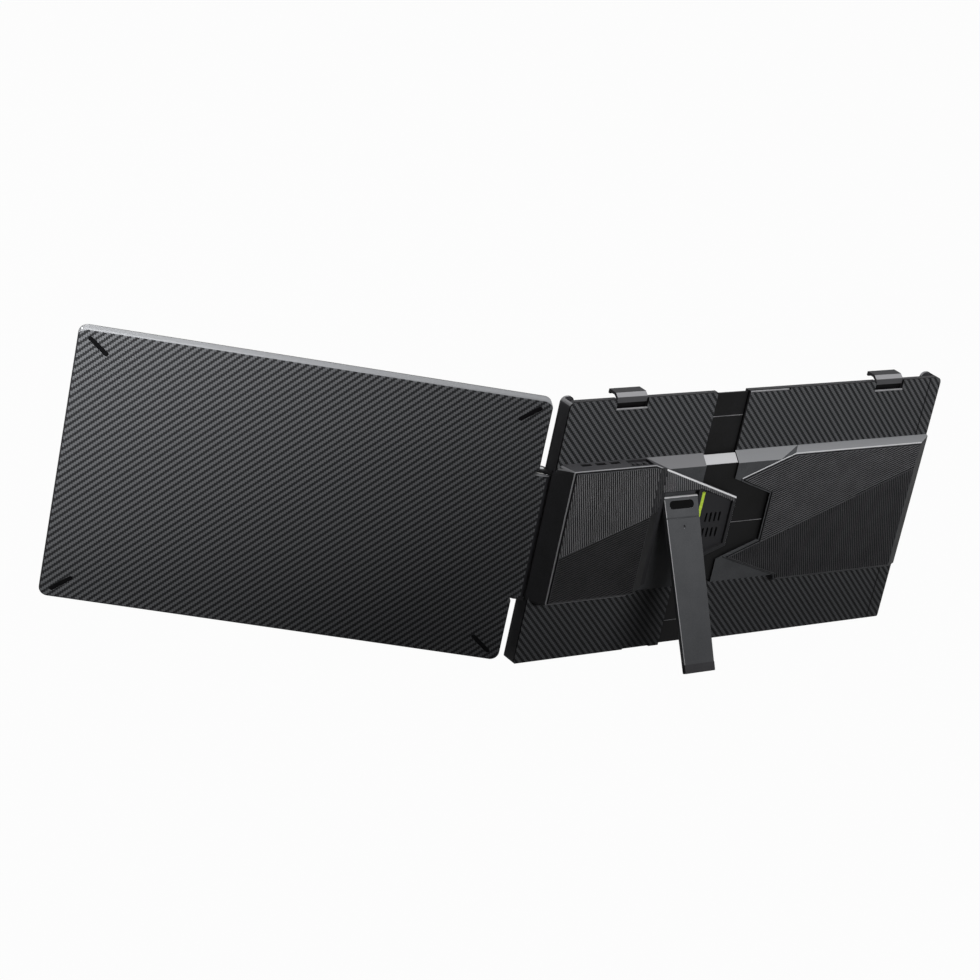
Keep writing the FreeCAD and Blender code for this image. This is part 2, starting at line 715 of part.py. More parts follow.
def left_ribbed_plate():
    x0 = HOUSING_X + HOUSING_DRAFT + FACING_MARGIN
    x1 = FACE_END_X - FACING_MARGIN / 2
    z0 = BAND_Z + FACING_MARGIN
    z1 = BAND_TOP - FACING_MARGIN
    corner = ARROW_SLOPE * (x1 - ARROW_START_X)
    outline = [(x0, z0), (x1, z0), (x1, z1 - corner), (ARROW_START_X, z1), (x0, z1)]
    plate = prism(outline, "y", -HOUSING_DEPTH - FACING_T, -HOUSING_DEPTH)
    return plate.makeChamfer(FACING_EDGE, rim(plate, -HOUSING_DEPTH - FACING_T))


def control_board():
    x, z = board_span()
    return box(x, (-BOARD_OUT - BOARD_T, -BOARD_OUT), z)


def socket(x):
    """Port shell on the board's edge, open at the top."""
    x_span = (x - PORT_W / 2, x + PORT_W / 2)
    z = (BAND_TOP - HOUSING_WALL - PORT_LENGTH, BAND_TOP - HOUSING_WALL / 2)
    mouth_x = widened(x_span, -PORT_T / 8)
    mouth_y = widened(port_y(), -PORT_T / 8)
    return box(x_span, port_y(), z).cut(box(mouth_x, mouth_y, (z[0] + PORT_T / 2, z[1])))


def usb_c_sockets():
    return group([socket(x) for x in port_xs()[1:]])


def hdmi_socket():
    return socket(port_xs()[0])


def button_switches():
    """Push switches on the board's edge, a button's travel below the caps."""
    top = BUTTON_FLANGE_Z - BUTTON_TRAVEL - TOUCH_GAP
    board_z = board_span()[1][1]
    y = (-BOARD_OUT - BOARD_T - SWITCH_W, -BOARD_OUT - BOARD_T)
    return group([box(widened((x, x), SWITCH_W / 2), y, (board_z - SWITCH_W, top)) for x in button_xs()])


# Arrow block with the vents, and the kickstand

def arrow_outline(x0, grow=0.0):
    """Arrow from x0 to its tip, with its sloped edges moved out by grow."""
    rise = grow * math.hypot(1.0, ARROW_SLOPE)
    fall = grow * math.hypot(1.0, ARROW_LOW_SLOPE)
    x1 = ARROW_TIP_X + grow
    return [
        (x0, BAND_TOP - ARROW_SLOPE * (x0 - ARROW_START_X) + rise),
        (x1, BAND_TOP - ARROW_SLOPE * (x1 - ARROW_START_X) + rise),
        (x1, BAND_Z + ARROW_LOW_SLOPE * (x1 - ARROW_START_X) - fall),
        (x0, BAND_Z + ARROW_LOW_SLOPE * (x0 - ARROW_START_X) - fall),
    ]


def vent_pocket_x():
    return LEG_CHANNEL[1] + STRIP_FROM_LEG - RUN_GAP


def vents():
    """Upright vent slots in two rows on the arrow's pocket floor."""
    slots = []
    for column in range(VENT_COLUMNS):
        x = ARROW_TIP_X - VENT_FROM_TIP - VENT_PITCH_X * column
        for row in (-0.5, 0.5):
            z = (BAND_Z + ARROW_TIP_RISE + BAND_TOP - ARROW_TIP_DROP) / 2 - VENT_DROP + VENT_PITCH_Z * row
            slots.append(pill(x, (-VENT_POCKET_FLOOR, -TONGUE_DEPTH), z, VENT_H, VENT_W, 90.0))
    return slots


def kickstand_base():
    block = prism(arrow_outline(HOUSING_END), "y", -ARROW_DEPTH, -TONGUE_DEPTH)
    block = block.makeChamfer(ARROW_EDGE, rim(block, -ARROW_DEPTH, HOUSING_END))
    block = block.cut(prism(band_profile(SLEEVE_DEPTH, 0.0), "x", ARROW_START_X, SLEEVE_END))
    block = block.cut(box(LEG_CHANNEL, (-BEYOND, 0), (BAND_Z - BEYOND, LEG_CHANNEL_TOP)))
    pocket = prism(arrow_outline(vent_pocket_x(), -VENT_POCKET_RIM), "y", -ARROW_DEPTH, -VENT_POCKET_FLOOR)
    block = block.cut(pocket).cut(group(vents()))
    return block.cut(kickstand_pin())


def accent_strip():
    """Bright bar on the pocket floor beside the leg."""
    x0 = vent_pocket_x()
    pocket_top = arrow_outline(x0, -VENT_POCKET_RIM)[0][1]
    z1 = pocket_top - ARROW_SLOPE * STRIP_W - STRIP_DROP
    return box((x0, x0 + STRIP_W), (-VENT_POCKET_FLOOR - STRIP_T, -VENT_POCKET_FLOOR), (z1 - STRIP_H, z1))


def kickstand_pin():
    x = widened(LEG_CHANNEL, LEG_PIN_HOLD)
    return rod(x[0], -LEG_AXIS_OUT, LEG_AXIS_Z, X_AXIS, LEG_PIN_R, x[1] - x[0])


LEG_Y = widened((-LEG_AXIS_OUT, -LEG_AXIS_OUT), LEG_T / 2)
LEG_FOOT_Z = LEG_AXIS_Z - LEG_LENGTH
LEG_PIVOT = FreeCAD.Vector(0, -LEG_AXIS_OUT, LEG_AXIS_Z)


def opened(shape):
    """Kickstand piece swung from its folded place to the stored opening."""
    return turned(shape, LEG_PIVOT, X_AXIS, -LEG_OPEN_DEG)


def window_recess(depth):
    z = LEG_AXIS_Z - WINDOW_FROM_AXIS
    return pill(LEG_TOP_CENTRE_X, (LEG_Y[0], LEG_Y[0] + depth), z, WINDOW_W, WINDOW_H)


def leg_length(z0, z1):
    """Stretch of the leg's bar, whose left edge leans out towards the axis."""
    lean = LEG_FLARE / LEG_LENGTH
    left = [(LEG_FOOT_X[0] - lean * (z - LEG_FOOT_Z), z) for z in (z1, z0)]
    return prism(left + [(LEG_FOOT_X[1], z0), (LEG_FOOT_X[1], z1)], "y", LEG_Y[0], LEG_Y[1])


def leg_barrel(radius):
    """Round bar across the leg's top on the swing axis."""
    return rod(LEG_TOP_X[0], -LEG_AXIS_OUT, LEG_AXIS_Z, X_AXIS, radius, LEG_TOP_X[1] - LEG_TOP_X[0])


def kickstand_leg():
    leg = leg_length(LEG_FOOT_Z + FOOT_H, LEG_AXIS_Z)
    leg = leg.makeFillet(LEG_EDGE_R, [e for e in rim(leg, LEG_Y[0]) if not runs_along(e, X_AXIS)])
    leg = leg.fuse(leg_barrel(LEG_T / 2)).cut(leg_barrel(LEG_PIN_R + LEG_PIN_CLEARANCE))
    leg = leg.cut(window_recess(WINDOW_T + WINDOW_SUNK))
    seam_z = LEG_AXIS_Z - SEAM_FROM_AXIS
    leg = leg.cut(box(LEG_TOP_X, (LEG_Y[0], LEG_Y[0] + SEAM_DEPTH), widened((seam_z, seam_z), SEAM_W / 2)))
    dimple_z = LEG_AXIS_Z - DIMPLE_FROM_AXIS
    return opened(leg.cut(rod(LEG_TOP_CENTRE_X, LEG_Y[0], dimple_z, Y_AXIS, DIMPLE_R, DIMPLE_DEPTH)))


def kickstand_window():
    inlay = window_recess(WINDOW_T + WINDOW_SUNK).cut(window_recess(WINDOW_SUNK))
    return opened(inlay)


def kickstand_foot():
    foot = leg_length(LEG_FOOT_Z, LEG_FOOT_Z + FOOT_H)
    tip_edges = [e for e in foot.Edges if all(abs(v.Z - LEG_FOOT_Z) < SAME_PLACE for v in e.Vertexes)]
    return opened(foot.makeFillet(LEG_EDGE_R, tip_edges))


# Right cover

def arrow_notch():
    """Clear space round the arrow in the right half, wide enough for the halves to close."""
    points = arrow_outline(SLEEVE_END, ARROW_NOTCH_GAP)
    tip_x = ARROW_TIP_X + ARROW_TIP_GAP
    high = points[0][1] - ARROW_SLOPE * (tip_x - SLEEVE_END)
    low = points[3][1] + ARROW_LOW_SLOPE * (tip_x - SLEEVE_END)
    outline = [points[0], (tip_x, high), (tip_x, low), points[3]]
    shifted = [(x + OPEN_GAP, z) for x, z in outline]
    return prism(shifted, "y", -BEYOND, 0)


def cover_block():
    """Raised part of the right cover: drafted top and foot, bevelled right end, sloped left edges."""
    end = BRACKET_W - COVER_END_INSET
    foot = BAND_Z - COVER_FOOT_DROP
    split_rise = BAND_TOP - BAND_MID - COVER_SPLIT_HALF_H
    split_fall = BAND_MID - COVER_SPLIT_HALF_H - BAND_Z
    plan = [
        (COVER_SPLIT_X, BAND_MID + COVER_SPLIT_HALF_H),
        (COVER_SPLIT_X + split_rise / COVER_SPLIT_SLOPE, BAND_TOP),
        (end, BAND_TOP),
        (end, foot),
        (COVER_FOOT_X, foot),
        (COVER_SPLIT_X + split_fall / COVER_SPLIT_SLOPE, BAND_Z),
        (COVER_SPLIT_X, BAND_MID - COVER_SPLIT_HALF_H),
    ]
    block = prism(plan, "y", -COVER_DEPTH, 0)
    side = [
        (RIGHT_X, 0),
        (end, 0),
        (end, -COVER_END_WALL),
        (end - COVER_END_BEVEL, -COVER_DEPTH),
        (RIGHT_X, -COVER_DEPTH),
    ]
    section = [
        (0, BAND_TOP),
        (-COVER_DEPTH, BAND_TOP - COVER_TOP_DRAFT),
        (-COVER_DEPTH, foot + COVER_TOP_DRAFT / 2),
        (0, foot),
    ]
    block = block.common(prism(side, "z", foot - BEYOND, BAND_TOP + BEYOND))
    return block.common(prism(section, "x", RIGHT_X, end))


def right_cover():
    end = BRACKET_W - COVER_END_INSET - COVER_END_BEVEL
    low = prism(band_profile(SLEEVE_DEPTH, 0.0), "x", RIGHT_X, COVER_FOOT_X)
    cavity_depth = TONGUE_DEPTH + RUN_GAP
    cavity = prism(band_profile(cavity_depth, SLEEVE_WALL - RUN_GAP), "x", RIGHT_X, end - COVER_CAVITY_END)
    raised = cover_block()
    raised = raised.makeChamfer(COVER_EDGE, rim(raised, -COVER_DEPTH))
    shell = low.fuse(raised).removeSplitter()
    return shell.cut(cavity).cut(arrow_notch())


def right_ribbed_plate():
    """Ribbed facing on the raised part of the cover, set in from its edges."""
    raised = cover_block().cut(arrow_notch())
    top = [f for f in raised.Faces if abs(f.CenterOfMass.y + COVER_DEPTH) < SAME_PLACE][0]
    outline = top.makeOffset2D(-FACING_MARGIN, 2).Faces[0]
    crest = top.makeOffset2D(-FACING_MARGIN - FACING_EDGE, 2).Faces[0]
    shoulder = Y_AXIS * -(FACING_T - FACING_EDGE)
    plate = outline.extrude(shoulder)
    outline.translate(shoulder)
    crest.translate(Y_AXIS * -FACING_T)
    return plate.fuse(Part.makeLoft([outline.OuterWire, crest.OuterWire], True, True)).removeSplitter()


# Hinge

def lug_zs():
    return (LOW_LUG_Z, HIGH_LUG_Z)


def screw_zs():
    middle = (LEAF_Z[0] + LEAF_Z[1]) / 2
    return [middle + SCREW_PITCH * (i - (SCREW_COUNT - 1) / 2) for i in range(SCREW_COUNT)]


def hinge_screws():
    """Countersunk screws that hold the leaf to the frame."""
    screws = []
    for z in screw_zs():
        head = rod(SCREW_IN, PLATE_T, z, -Y_AXIS, SCREW_HEAD_R, SCREW_HEAD_T)
        shank = rod(SCREW_IN, PLATE_T, z, -Y_AXIS, SCREW_R, SCREW_LENGTH)
        screws.append(head.fuse(shank).removeSplitter())
    return group(screws)


def hinge_pin():
    length = HIGH_LUG_Z + LUG_T - LOW_LUG_Z
    return rod(AXIS_X, AXIS_Y, LOW_LUG_Z, Z_AXIS, PIN_R, length)


def hinge_bracket():
    leaf_y = PLATE_T - LEAF_T
    body = box((0, LEAF_W), (leaf_y, PLATE_T), LEAF_Z)
    arm = [
        (AXIS_X - LUG_R, AXIS_Y),
        (0, PLATE_T),
        (0, leaf_y),
        (RAIL_WALL, leaf_y),
        (RAIL_WALL, RAIL_DEPTH - RAIL_FLANGE_T),
        (AXIS_X + LUG_R, AXIS_Y),
    ]
    for z in lug_zs():
        eye = rod(AXIS_X, AXIS_Y, z, Z_AXIS, LUG_R, LUG_T)
        body = body.fuse([prism(arm, "z", z, z + LUG_T), eye])
    return body.removeSplitter().cut(hinge_pin()).cut(hinge_screws())


def hinge_washers():
    spare = (LUG_GAP - WASHER_T) / 2
    rings = []
    for z in (LOW_LUG_Z + LUG_T + spare, KNUCKLE_Z + KNUCKLE_H + spare):
        ring = rod(AXIS_X, AXIS_Y, z, Z_AXIS, WASHER_R, WASHER_T)
        rings.append(ring.cut(rod(AXIS_X, AXIS_Y, z, Z_AXIS, PIN_R + PIN_CLEARANCE, WASHER_T)))
    return group(rings)


# Screen wing, modelled in line with the bracket and then folded to its stored angle

SCREEN_PIVOT = FreeCAD.Vector(AXIS_X, AXIS_Y, 0)


def folded(shape):
    """Screen piece swung towards the laptop's side by the stored fold."""
    return turned(shape, SCREEN_PIVOT, Z_AXIS, -FOLD_DEG)


def knuckle():
    """Rounded nose that carries the screen's back round to the bracket, and the barrel round the pin."""
    z = (KNUCKLE_Z, KNUCKLE_Z + KNUCKLE_H)
    root = box((SCREEN_X1 - HINGE_SIDE_WALL, AXIS_X), (SCREEN_BACK, AXIS_Y), z)
    nose = rod(AXIS_X, AXIS_Y, KNUCKLE_Z, Z_AXIS, SCREEN_T, KNUCKLE_H)
    nose_x = (AXIS_X, AXIS_X + SCREEN_T - KNUCKLE_TRIM)
    nose = nose.common(box(nose_x, (SCREEN_BACK, SCREEN_BACK + KNUCKLE_NOSE_T), z))
    barrel = rod(AXIS_X, AXIS_Y, KNUCKLE_Z, Z_AXIS, BARREL_R, KNUCKLE_H)
    return root.fuse([nose, barrel]).removeSplitter()


def lug_notches():
    """Clearance in the screen's edge for the bracket's two lugs."""
    x = (AXIS_X - LUG_R - LUG_GAP, SCREEN_X1 + BEYOND)
    low = box(x, (-BEYOND, BEYOND), (LOW_LUG_Z - LUG_GAP, KNUCKLE_Z))
    high = box(x, (-BEYOND, BEYOND), (KNUCKLE_Z + KNUCKLE_H, HIGH_LUG_Z + LUG_T + LUG_GAP))
    return group([low, high])


def bumper_places():
    """Middle and slant of the four corner bumpers, each pointing from its corner to the middle."""
    places = []
    for x, side in ((SCREEN_X0 + BUMPER_IN_X, 1), (SCREEN_X1 - BUMPER_IN_X, -1)):
        for z, level in ((BUMPER_IN_Z, -1), (SCREEN_H - BUMPER_IN_Z, 1)):
            places.append((x, z, BUMPER_DEG * side * level))
    return places


def bumpers(y):
    return [pill(x, y, z, BUMPER_L, BUMPER_W, degrees) for x, z, degrees in bumper_places()]


def screen_back_cover():
    shell = slab((SCREEN_X0, SCREEN_X1), (SCREEN_BACK, BEZEL_BACK), (0, SCREEN_H), SCREEN_CORNER_R)
    shell = shell.makeFillet(SCREEN_EDGE_R, rim(shell, SCREEN_BACK))
    cavity_x = (SCREEN_X0 + COVER_WALL, SCREEN_X1 - HINGE_SIDE_WALL)
    cavity = box(cavity_x, (SCREEN_BACK + COVER_WALL, BEZEL_BACK), (COVER_WALL, SCREEN_H - COVER_WALL))
    shell = shell.cut(lug_notches()).cut(cavity).fuse(knuckle()).removeSplitter()
    bore = rod(AXIS_X, AXIS_Y, KNUCKLE_Z, Z_AXIS, PIN_R + PIN_CLEARANCE, KNUCKLE_H)
    seats = bumpers((SCREEN_BACK, SCREEN_BACK + BUMPER_T + BUMPER_SUNK))
    return folded(shell.cut(bore).cut(group(seats)))


def corner_pads():
    y = (SCREEN_BACK + BUMPER_SUNK, SCREEN_BACK + BUMPER_SUNK + BUMPER_T)
    return folded(group(bumpers(y)))


def screen_bezel():
    ring = slab((SCREEN_X0, SCREEN_X1), (BEZEL_BACK, AXIS_Y), (0, SCREEN_H), SCREEN_CORNER_R)
    window_x = (SCREEN_X0 + BEZEL_SIDE, SCREEN_X1 - BEZEL_SIDE)
    ring = ring.cut(box(window_x, (BEZEL_BACK, AXIS_Y), (BEZEL_CHIN, SCREEN_H - BEZEL_TOP)))
    return folded(ring.cut(lug_notches()).cut(knuckle()))


def inside_cover(y):
    """Flat module that fills the cover's cavity with a small gap at its edges."""
    x = (SCREEN_X0 + COVER_WALL + PANEL_GAP, SCREEN_X1 - HINGE_SIDE_WALL - PANEL_GAP)
    return box(x, y, (COVER_WALL + PANEL_GAP, SCREEN_H - COVER_WALL - PANEL_GAP))


def display_panel():
    return folded(inside_cover((PANEL_BACK, BEZEL_BACK)))


def backlight_unit():
    return folded(inside_cover((PANEL_BACK - BACKLIGHT_T, PANEL_BACK)))


def screen_board():
    middle = (SCREEN_X0 + SCREEN_X1) / 2
    y0 = SCREEN_BACK + COVER_WALL
    x = widened((middle, middle), SCREEN_BOARD_W / 2)
    return folded(box(x, (y0, y0 + SCREEN_BOARD_T), (SCREEN_BOARD_UP, SCREEN_BOARD_UP + SCREEN_BOARD_H)))


def build():
    """Every piece of the object by its name, in the bracket's own frame."""
    return {
        "left_back_plate": left_back_plate(),
        "left_frame": left_frame(),
        "left_side_rail": left_side_rail(),
        "left_lid_pads": left_lid_pads(),
        "left_hook": hook(LEFT_HOOK_X),
        "left_hook_spring": hook_spring(LEFT_HOOK_X),
        "right_back_plate": right_back_plate(),
        "right_frame": right_frame(),
        "right_side_rail": right_side_rail(),
        "right_lid_pads": right_lid_pads(),
        "right_hook": hook(RIGHT_HOOK_X),
        "right_hook_spring": hook_spring(RIGHT_HOOK_X),
        "slide_sleeve": slide_sleeve(),
        "slide_tongue": slide_tongue(),
        "slide_tray": slide_tray(),
        "guide_rods": guide_rods(),
        "rod_anchors": rod_anchors(),
        "rod_bushes": rod_bushes(),
        "control_housing": control_housing(),
        "left_ribbed_plate": left_ribbed_plate(),
        "control_board": control_board(),
        "usb_c_sockets": usb_c_sockets(),
        "hdmi_socket": hdmi_socket(),
        "button_switches": button_switches(),
        "power_button": button(button_xs()[0]),
        "menu_rocker": button(button_xs()[1], rocker_width()),
        "back_button": button(button_xs()[2]),
        "kickstand_base": kickstand_base(),
        "accent_strip": accent_strip(),
        "kickstand_pin": kickstand_pin(),
        "kickstand_leg": kickstand_leg(),
        "kickstand_window": kickstand_window(),
        "kickstand_foot": kickstand_foot(),
        "right_cover": right_cover(),
        "right_ribbed_plate": right_ribbed_plate(),
        "hinge_bracket": hinge_bracket(),
        "hinge_pin": hinge_pin(),
        "hinge_washers": hinge_washers(),
        "hinge_screws": hinge_screws(),
        "screen_back_cover": screen_back_cover(),
        "corner_pads": corner_pads(),
        "screen_bezel": screen_bezel(),
        "display_panel": display_panel(),
        "backlight_unit": backlight_unit(),
        "screen_board": screen_board(),
    }


pieces = build()

# The origin is the middle of the whole object's box, on the surface that it stands on.
bounds = Part.makeCompound(list(pieces.values())).optimalBoundingBox(False, False)
to_origin = FreeCAD.Vector(-bounds.Center.x, -bounds.Center.y, -bounds.ZMin)

for name, shape in pieces.items():
    shape.translate(to_origin)
    shape.exportStep(os.path.join("parts", name + ".step"))
    print(name, len(shape.Solids), round(shape.Volume, 1), shape.isValid())
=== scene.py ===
"""Finishes, fine ribs and studio for a clip-on second screen with a telescoping bracket and a kickstand."""

import math

import bmesh
import bpy
import numpy as np
from mathutils import Matrix, Vector


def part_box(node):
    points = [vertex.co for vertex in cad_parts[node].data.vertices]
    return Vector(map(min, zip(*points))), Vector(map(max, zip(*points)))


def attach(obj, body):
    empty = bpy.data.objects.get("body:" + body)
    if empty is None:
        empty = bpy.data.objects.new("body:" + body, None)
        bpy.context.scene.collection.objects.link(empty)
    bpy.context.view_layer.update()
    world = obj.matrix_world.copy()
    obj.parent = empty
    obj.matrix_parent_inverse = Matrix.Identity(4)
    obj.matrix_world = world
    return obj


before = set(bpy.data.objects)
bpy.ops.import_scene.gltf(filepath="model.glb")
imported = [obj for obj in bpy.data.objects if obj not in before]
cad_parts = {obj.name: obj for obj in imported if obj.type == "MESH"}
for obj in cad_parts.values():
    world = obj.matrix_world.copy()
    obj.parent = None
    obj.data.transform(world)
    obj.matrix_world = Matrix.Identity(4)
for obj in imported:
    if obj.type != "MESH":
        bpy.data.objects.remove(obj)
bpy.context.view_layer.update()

bl_info = {
    "name": "Clip-on monitor finishes",
    "version": (1, 0, 0),
    "blender": (4, 5, 0),
    "location": "View3D > Sidebar > Monitor",
    "description": "Dresses the packed clip-on monitor with ribs, bright edges, finishes and a studio",
    "category": "Object",
}

MM = 0.001

# The bracket's own axes start at the lower left corner of its back face: X to the right seen from
# behind, Y towards the laptop, Z up, in millimetres.
BRACKET_CORNER = np.array(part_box("left_back_plate")[0])

# Directions that faces look in. The slope runs from the left facing down to the arrow block, the shoulder is
# the housing's upper left one, and the leg's edge is its upper left one.
FOLD = math.radians(30.4)
BACK_OF_BRACKET = (0.0, -1.0, 0.0)
BACK_OF_SCREEN = (-math.sin(FOLD), -math.cos(FOLD), 0.0)
UP = (0.0, 0.0, 1.0)
DOWN = (0.0, 0.0, -1.0)
LEFT = (-1.0, 0.0, 0.0)
RIGHT = (1.0, 0.0, 0.0)
UP_AND_BACK = (0.0, -0.7071, 0.7071)
SLOPE = (0.2652, -0.9642, 0.0)
SHOULDER = (-0.6, -0.3, 0.74)
LEG_EDGE = (-0.5, -0.35, 0.8)

# A bevel round a face that looks back has this much of its normal along that way. No face has more than
# the limit along any way.
BEVEL_LEAN = (0.56, 0.85)
NO_LIMIT = 1.1

# Fields of ribs on the faces that look back, as convex outlines in X and Z, anticlockwise.
LEFT_BEAD = ((8.35, 58.95), (90.7, 58.95), (90.7, 165.3), (85.9, 167.05), (8.35, 167.05))
LEFT_DIVIDER = ((8.35, 97.2), (90.7, 125.25))
LEFT_UPPER_FIELD = (*LEFT_DIVIDER, *LEFT_BEAD[2:])
LEFT_LOWER_FIELD = (*LEFT_BEAD[:2], *reversed(LEFT_DIVIDER))
SLOPE_FIELD = ((92.3, 125.8), (99.7, 128.3), (99.7, 163.0), (92.3, 165.8))
RIGHT_BEAD = ((188.1, 78.75), (244.8, 58.55), (246.6, 54.45), (371.95, 54.45), (371.95, 164.05),
              (235.3, 164.05), (186.5, 146.6), (219.15, 133.9), (219.15, 89.75))
RIGHT_DIVIDER = ((219.15, 89.75), (371.95, 143.8))
RIGHT_UPPER_FIELDS = (
    (*RIGHT_DIVIDER, *RIGHT_BEAD[4:6], (219.15, 158.28)),
    (*RIGHT_BEAD[6:8], (219.15, 158.28)),
)
RIGHT_LOWER_FIELDS = (
    (*RIGHT_BEAD[:2], (246.6, 58.55), (246.6, 99.46), RIGHT_DIVIDER[0]),
    (*RIGHT_BEAD[2:4], RIGHT_DIVIDER[1], (246.6, 99.46)),
)
ARROW_FIELDS = (
    ((100.6, 143.9), (139.6, 143.9), (139.6, 147.2), (100.6, 161.9)),
    ((139.6, 144.7), (178.2, 130.0), (178.2, 132.6), (139.6, 147.2)),
)

# How far each face that carries ribs or lines stands out of the plates, at one or more places along X.
LEFT_FACE = ((0.0,), (15.0,))
RIGHT_FACE = ((0.0,), (9.5,))
ARROW_FACE = ((0.0,), (12.0,))
SLOPE_FACE = ((92.0, 100.0), (14.2, 12.0))
TRAY_GROOVE = ((0.0,), (-1.9,))
TONGUE_GROOVE = ((0.0,), (5.9,))
PLATE_BACK = ((0.0,), (0.0,))
NOTCH_FLOOR = ((0.0,), (-1.2,))

# Lines in the grooves of the tray and the tongue, lips in the two finger notches and sills under the hooks,
# all light bars that paint highlights on those edges: where they run along X, and at what height.
TRAY_LINES = ((100.5, 249.5, 20.85), (100.5, 249.5, 198.85))
TONGUE_LINE = ((144.0, 249.5, 108.5),)
LEFT_HOOK_SILL = ((45.0, 75.2, 212.0),)
RIGHT_HOOK_SILL = ((313.4, 343.6, 212.0),)
LOW_NOTCH_LIP = ((109.0, 134.0, 1.9),)
TOP_NOTCH_LIP = ((179.0, 219.0, 218.6),)

# Width and height of the lines, of the lips and sills, and of the beads.
LINE_SIZE = (0.45, 0.4)
LIP_SIZE = (1.3, 0.7)
BEAD_SIZE = (0.5, 0.45)

# A rib that its field would cut shorter than this is left out, and a side whose slope is under the other
# value runs along the ribs.
SHORTEST_RIB = 2.0
PARALLEL = 1e-9

# Dark lines on the plates' film: place along X and half the width. The first parts the film where it is
# turned round an edge; the second is a painted shadow along the right plate's left edge.
FILM_LINES = ((374.0, 0.5), (177.7, 0.8))

# The film's twill: tows to a repeat, the highest remainder that shows the upright tow, what its being upright
# and its crown add to a tow's brightness (the crown's share is a painted highlight), how squarely a woven
# face looks back, and its relief and gloss.
TWILL_REPEAT = 4.0
TWILL_UPRIGHT = 1.5
TOW_SHARE = 0.8
CROWN_SHARE = 0.2
WOVEN_FACING = 0.9
TOW_RELIEF = 0.25
TOW_HEIGHT = 0.1 * MM
FILM_ROUGHNESS = (0.55, 0.42)
FILM_SHEEN = 0.02

# A grain's broad mottling has this share of its frequency, its colours run from dark to light between these
# sums of the two noises, and its relief is this share of its size.
MOTTLING = 0.06
GRAIN_RANGE = (0.7, 1.3)
GRAIN_RELIEF = 0.2

# Specular level of the dark plastics, which mirror little of their white surroundings.
DULL = 0.05

# Stretch of a grain into fine lines along the rolling direction.
ROLLED = (1, 1, 0.08)

# Sockets of a Mix node: its two numbers, its two colours and the colour that comes out.
NUMBER_A, NUMBER_B = 2, 3
COLOUR_A, COLOUR_B = 6, 7
MIXED = 2

# The camera stands behind the screen's free end, a little above it: its place in bracket millimetres, its own
# three axes, and its lens and sensor in millimetres.
CAMERA_AT = (-1396.9, -1615.2, 1000.4)
CAMERA_AXES = ((0.8032, -0.5629, 0.1948), (0.0717, 0.4161, 0.9065), (-0.5913, -0.7141, 0.3746))
LENS = 111.8
SENSOR = 36.0

# Each lamp's width, place and direction, in metres. The two lamps behind the object are turned up, so that
# their light fades towards its foot.
LAMPS = {
    "screen_lamp": (0.3, (-0.732, -0.231, 0.536), (-0.014, 0.927, 0.376)),
    "bracket_lamp": (1.2, (0.024, -1.538, 0.917), (0.136, 0.59, 0.796)),
    "top_lamp": (0.4, (0.13, -0.12, 1.05), (0.0, 0.0, -1.0)),
    "front_lamp": (0.6, (-0.1, 1.2, 0.9), (0.1, -1.15, -0.8)),
}

# Floor sweep, in metres: half its side, the radius of its flat middle and its rise, with the points along a
# side, and the share of it that the eye sees as plain white.
FLOOR_HALF = 9.0
FLOOR_FLAT = 5.5
FLOOR_RISE = 0.35
FLOOR_POINTS = 73
FLOOR_WHITE = 0.975
WHITE = (1, 1, 1, 1)


def linear(colour):
    """An sRGB hex colour as linear red, green, blue and alpha. A colour that is linear already stays."""
    if not isinstance(colour, str):
        return colour
    part = np.array([int(colour[i : i + 2], 16) for i in (1, 3, 5)]) / 255
    low, high = part / 12.92, ((part + 0.055) / 1.055) ** 2.4
    return (*np.where(part <= 0.04045, low, high).tolist(), 1.0)


# What every colour property has.
AS_COLOUR = {"subtype": "COLOR", "size": 4, "min": 0, "max": 1}


class RibSizes(bpy.types.PropertyGroup):
    """Sizes of the fine ribs on the two facings and the arrow block."""

    pitch: bpy.props.FloatProperty(
        name="Rib pitch", description="Distance from one rib to the next",
        default=2.0 * MM, min=1.0 * MM, unit="LENGTH", precision=4)
    width: bpy.props.FloatProperty(
        name="Rib width", description="Width of a rib at its foot",
        default=1.0 * MM, min=0.2 * MM, unit="LENGTH", precision=4)
    height: bpy.props.FloatProperty(
        name="Rib height", description="How far a rib stands out of its facing",
        default=0.4 * MM, min=0.1 * MM, unit="LENGTH", precision=5)
    slant: bpy.props.FloatProperty(
        name="Rib slant", description="Rise of the sloping ribs towards the right",
        default=math.radians(19.4), unit="ROTATION")
    upright: bpy.props.FloatProperty(
        name="Upright rib heading", description="Heading of the upright ribs, which lean to the left",
        default=math.radians(106.0), unit="ROTATION")


class TwillSizes(bpy.types.PropertyGroup):
    """The woven pattern on the screen's back and the bracket's plates."""

    tow: bpy.props.FloatProperty(
        name="Tow width", description="Width of one tow of the weave",
        default=1.5 * MM, min=0.5 * MM, unit="LENGTH", precision=4)


class FinishColours(bpy.types.PropertyGroup):
    """Colours of the finishes that a user would change."""

    twill_light: bpy.props.FloatVectorProperty(
        name="Twill, lit tow", description="Tow that lies along the light",
        default=linear("#515254"), **AS_COLOUR)
    twill_dark: bpy.props.FloatVectorProperty(
        name="Twill, dark tow", description="Tow that lies across the light",
        default=linear("#0f0f10"), **AS_COLOUR)
    moulded: bpy.props.FloatVectorProperty(
        name="Moulded parts", description="Housing, arrow block, hooks and the frames behind the plates",
        default=linear("#2c2c2e"), **AS_COLOUR)
    slide: bpy.props.FloatVectorProperty(
        name="Sliding members", description="Tongue and tray between the halves",
        default=linear("#171718"), **AS_COLOUR)
    leg: bpy.props.FloatVectorProperty(
        name="Kickstand leg", description="Painted leg", default=linear("#494a4c"), **AS_COLOUR)
    accent: bpy.props.FloatVectorProperty(
        name="Accent strip", description="Strip beside the leg", default=linear("#b9d52c"), **AS_COLOUR)


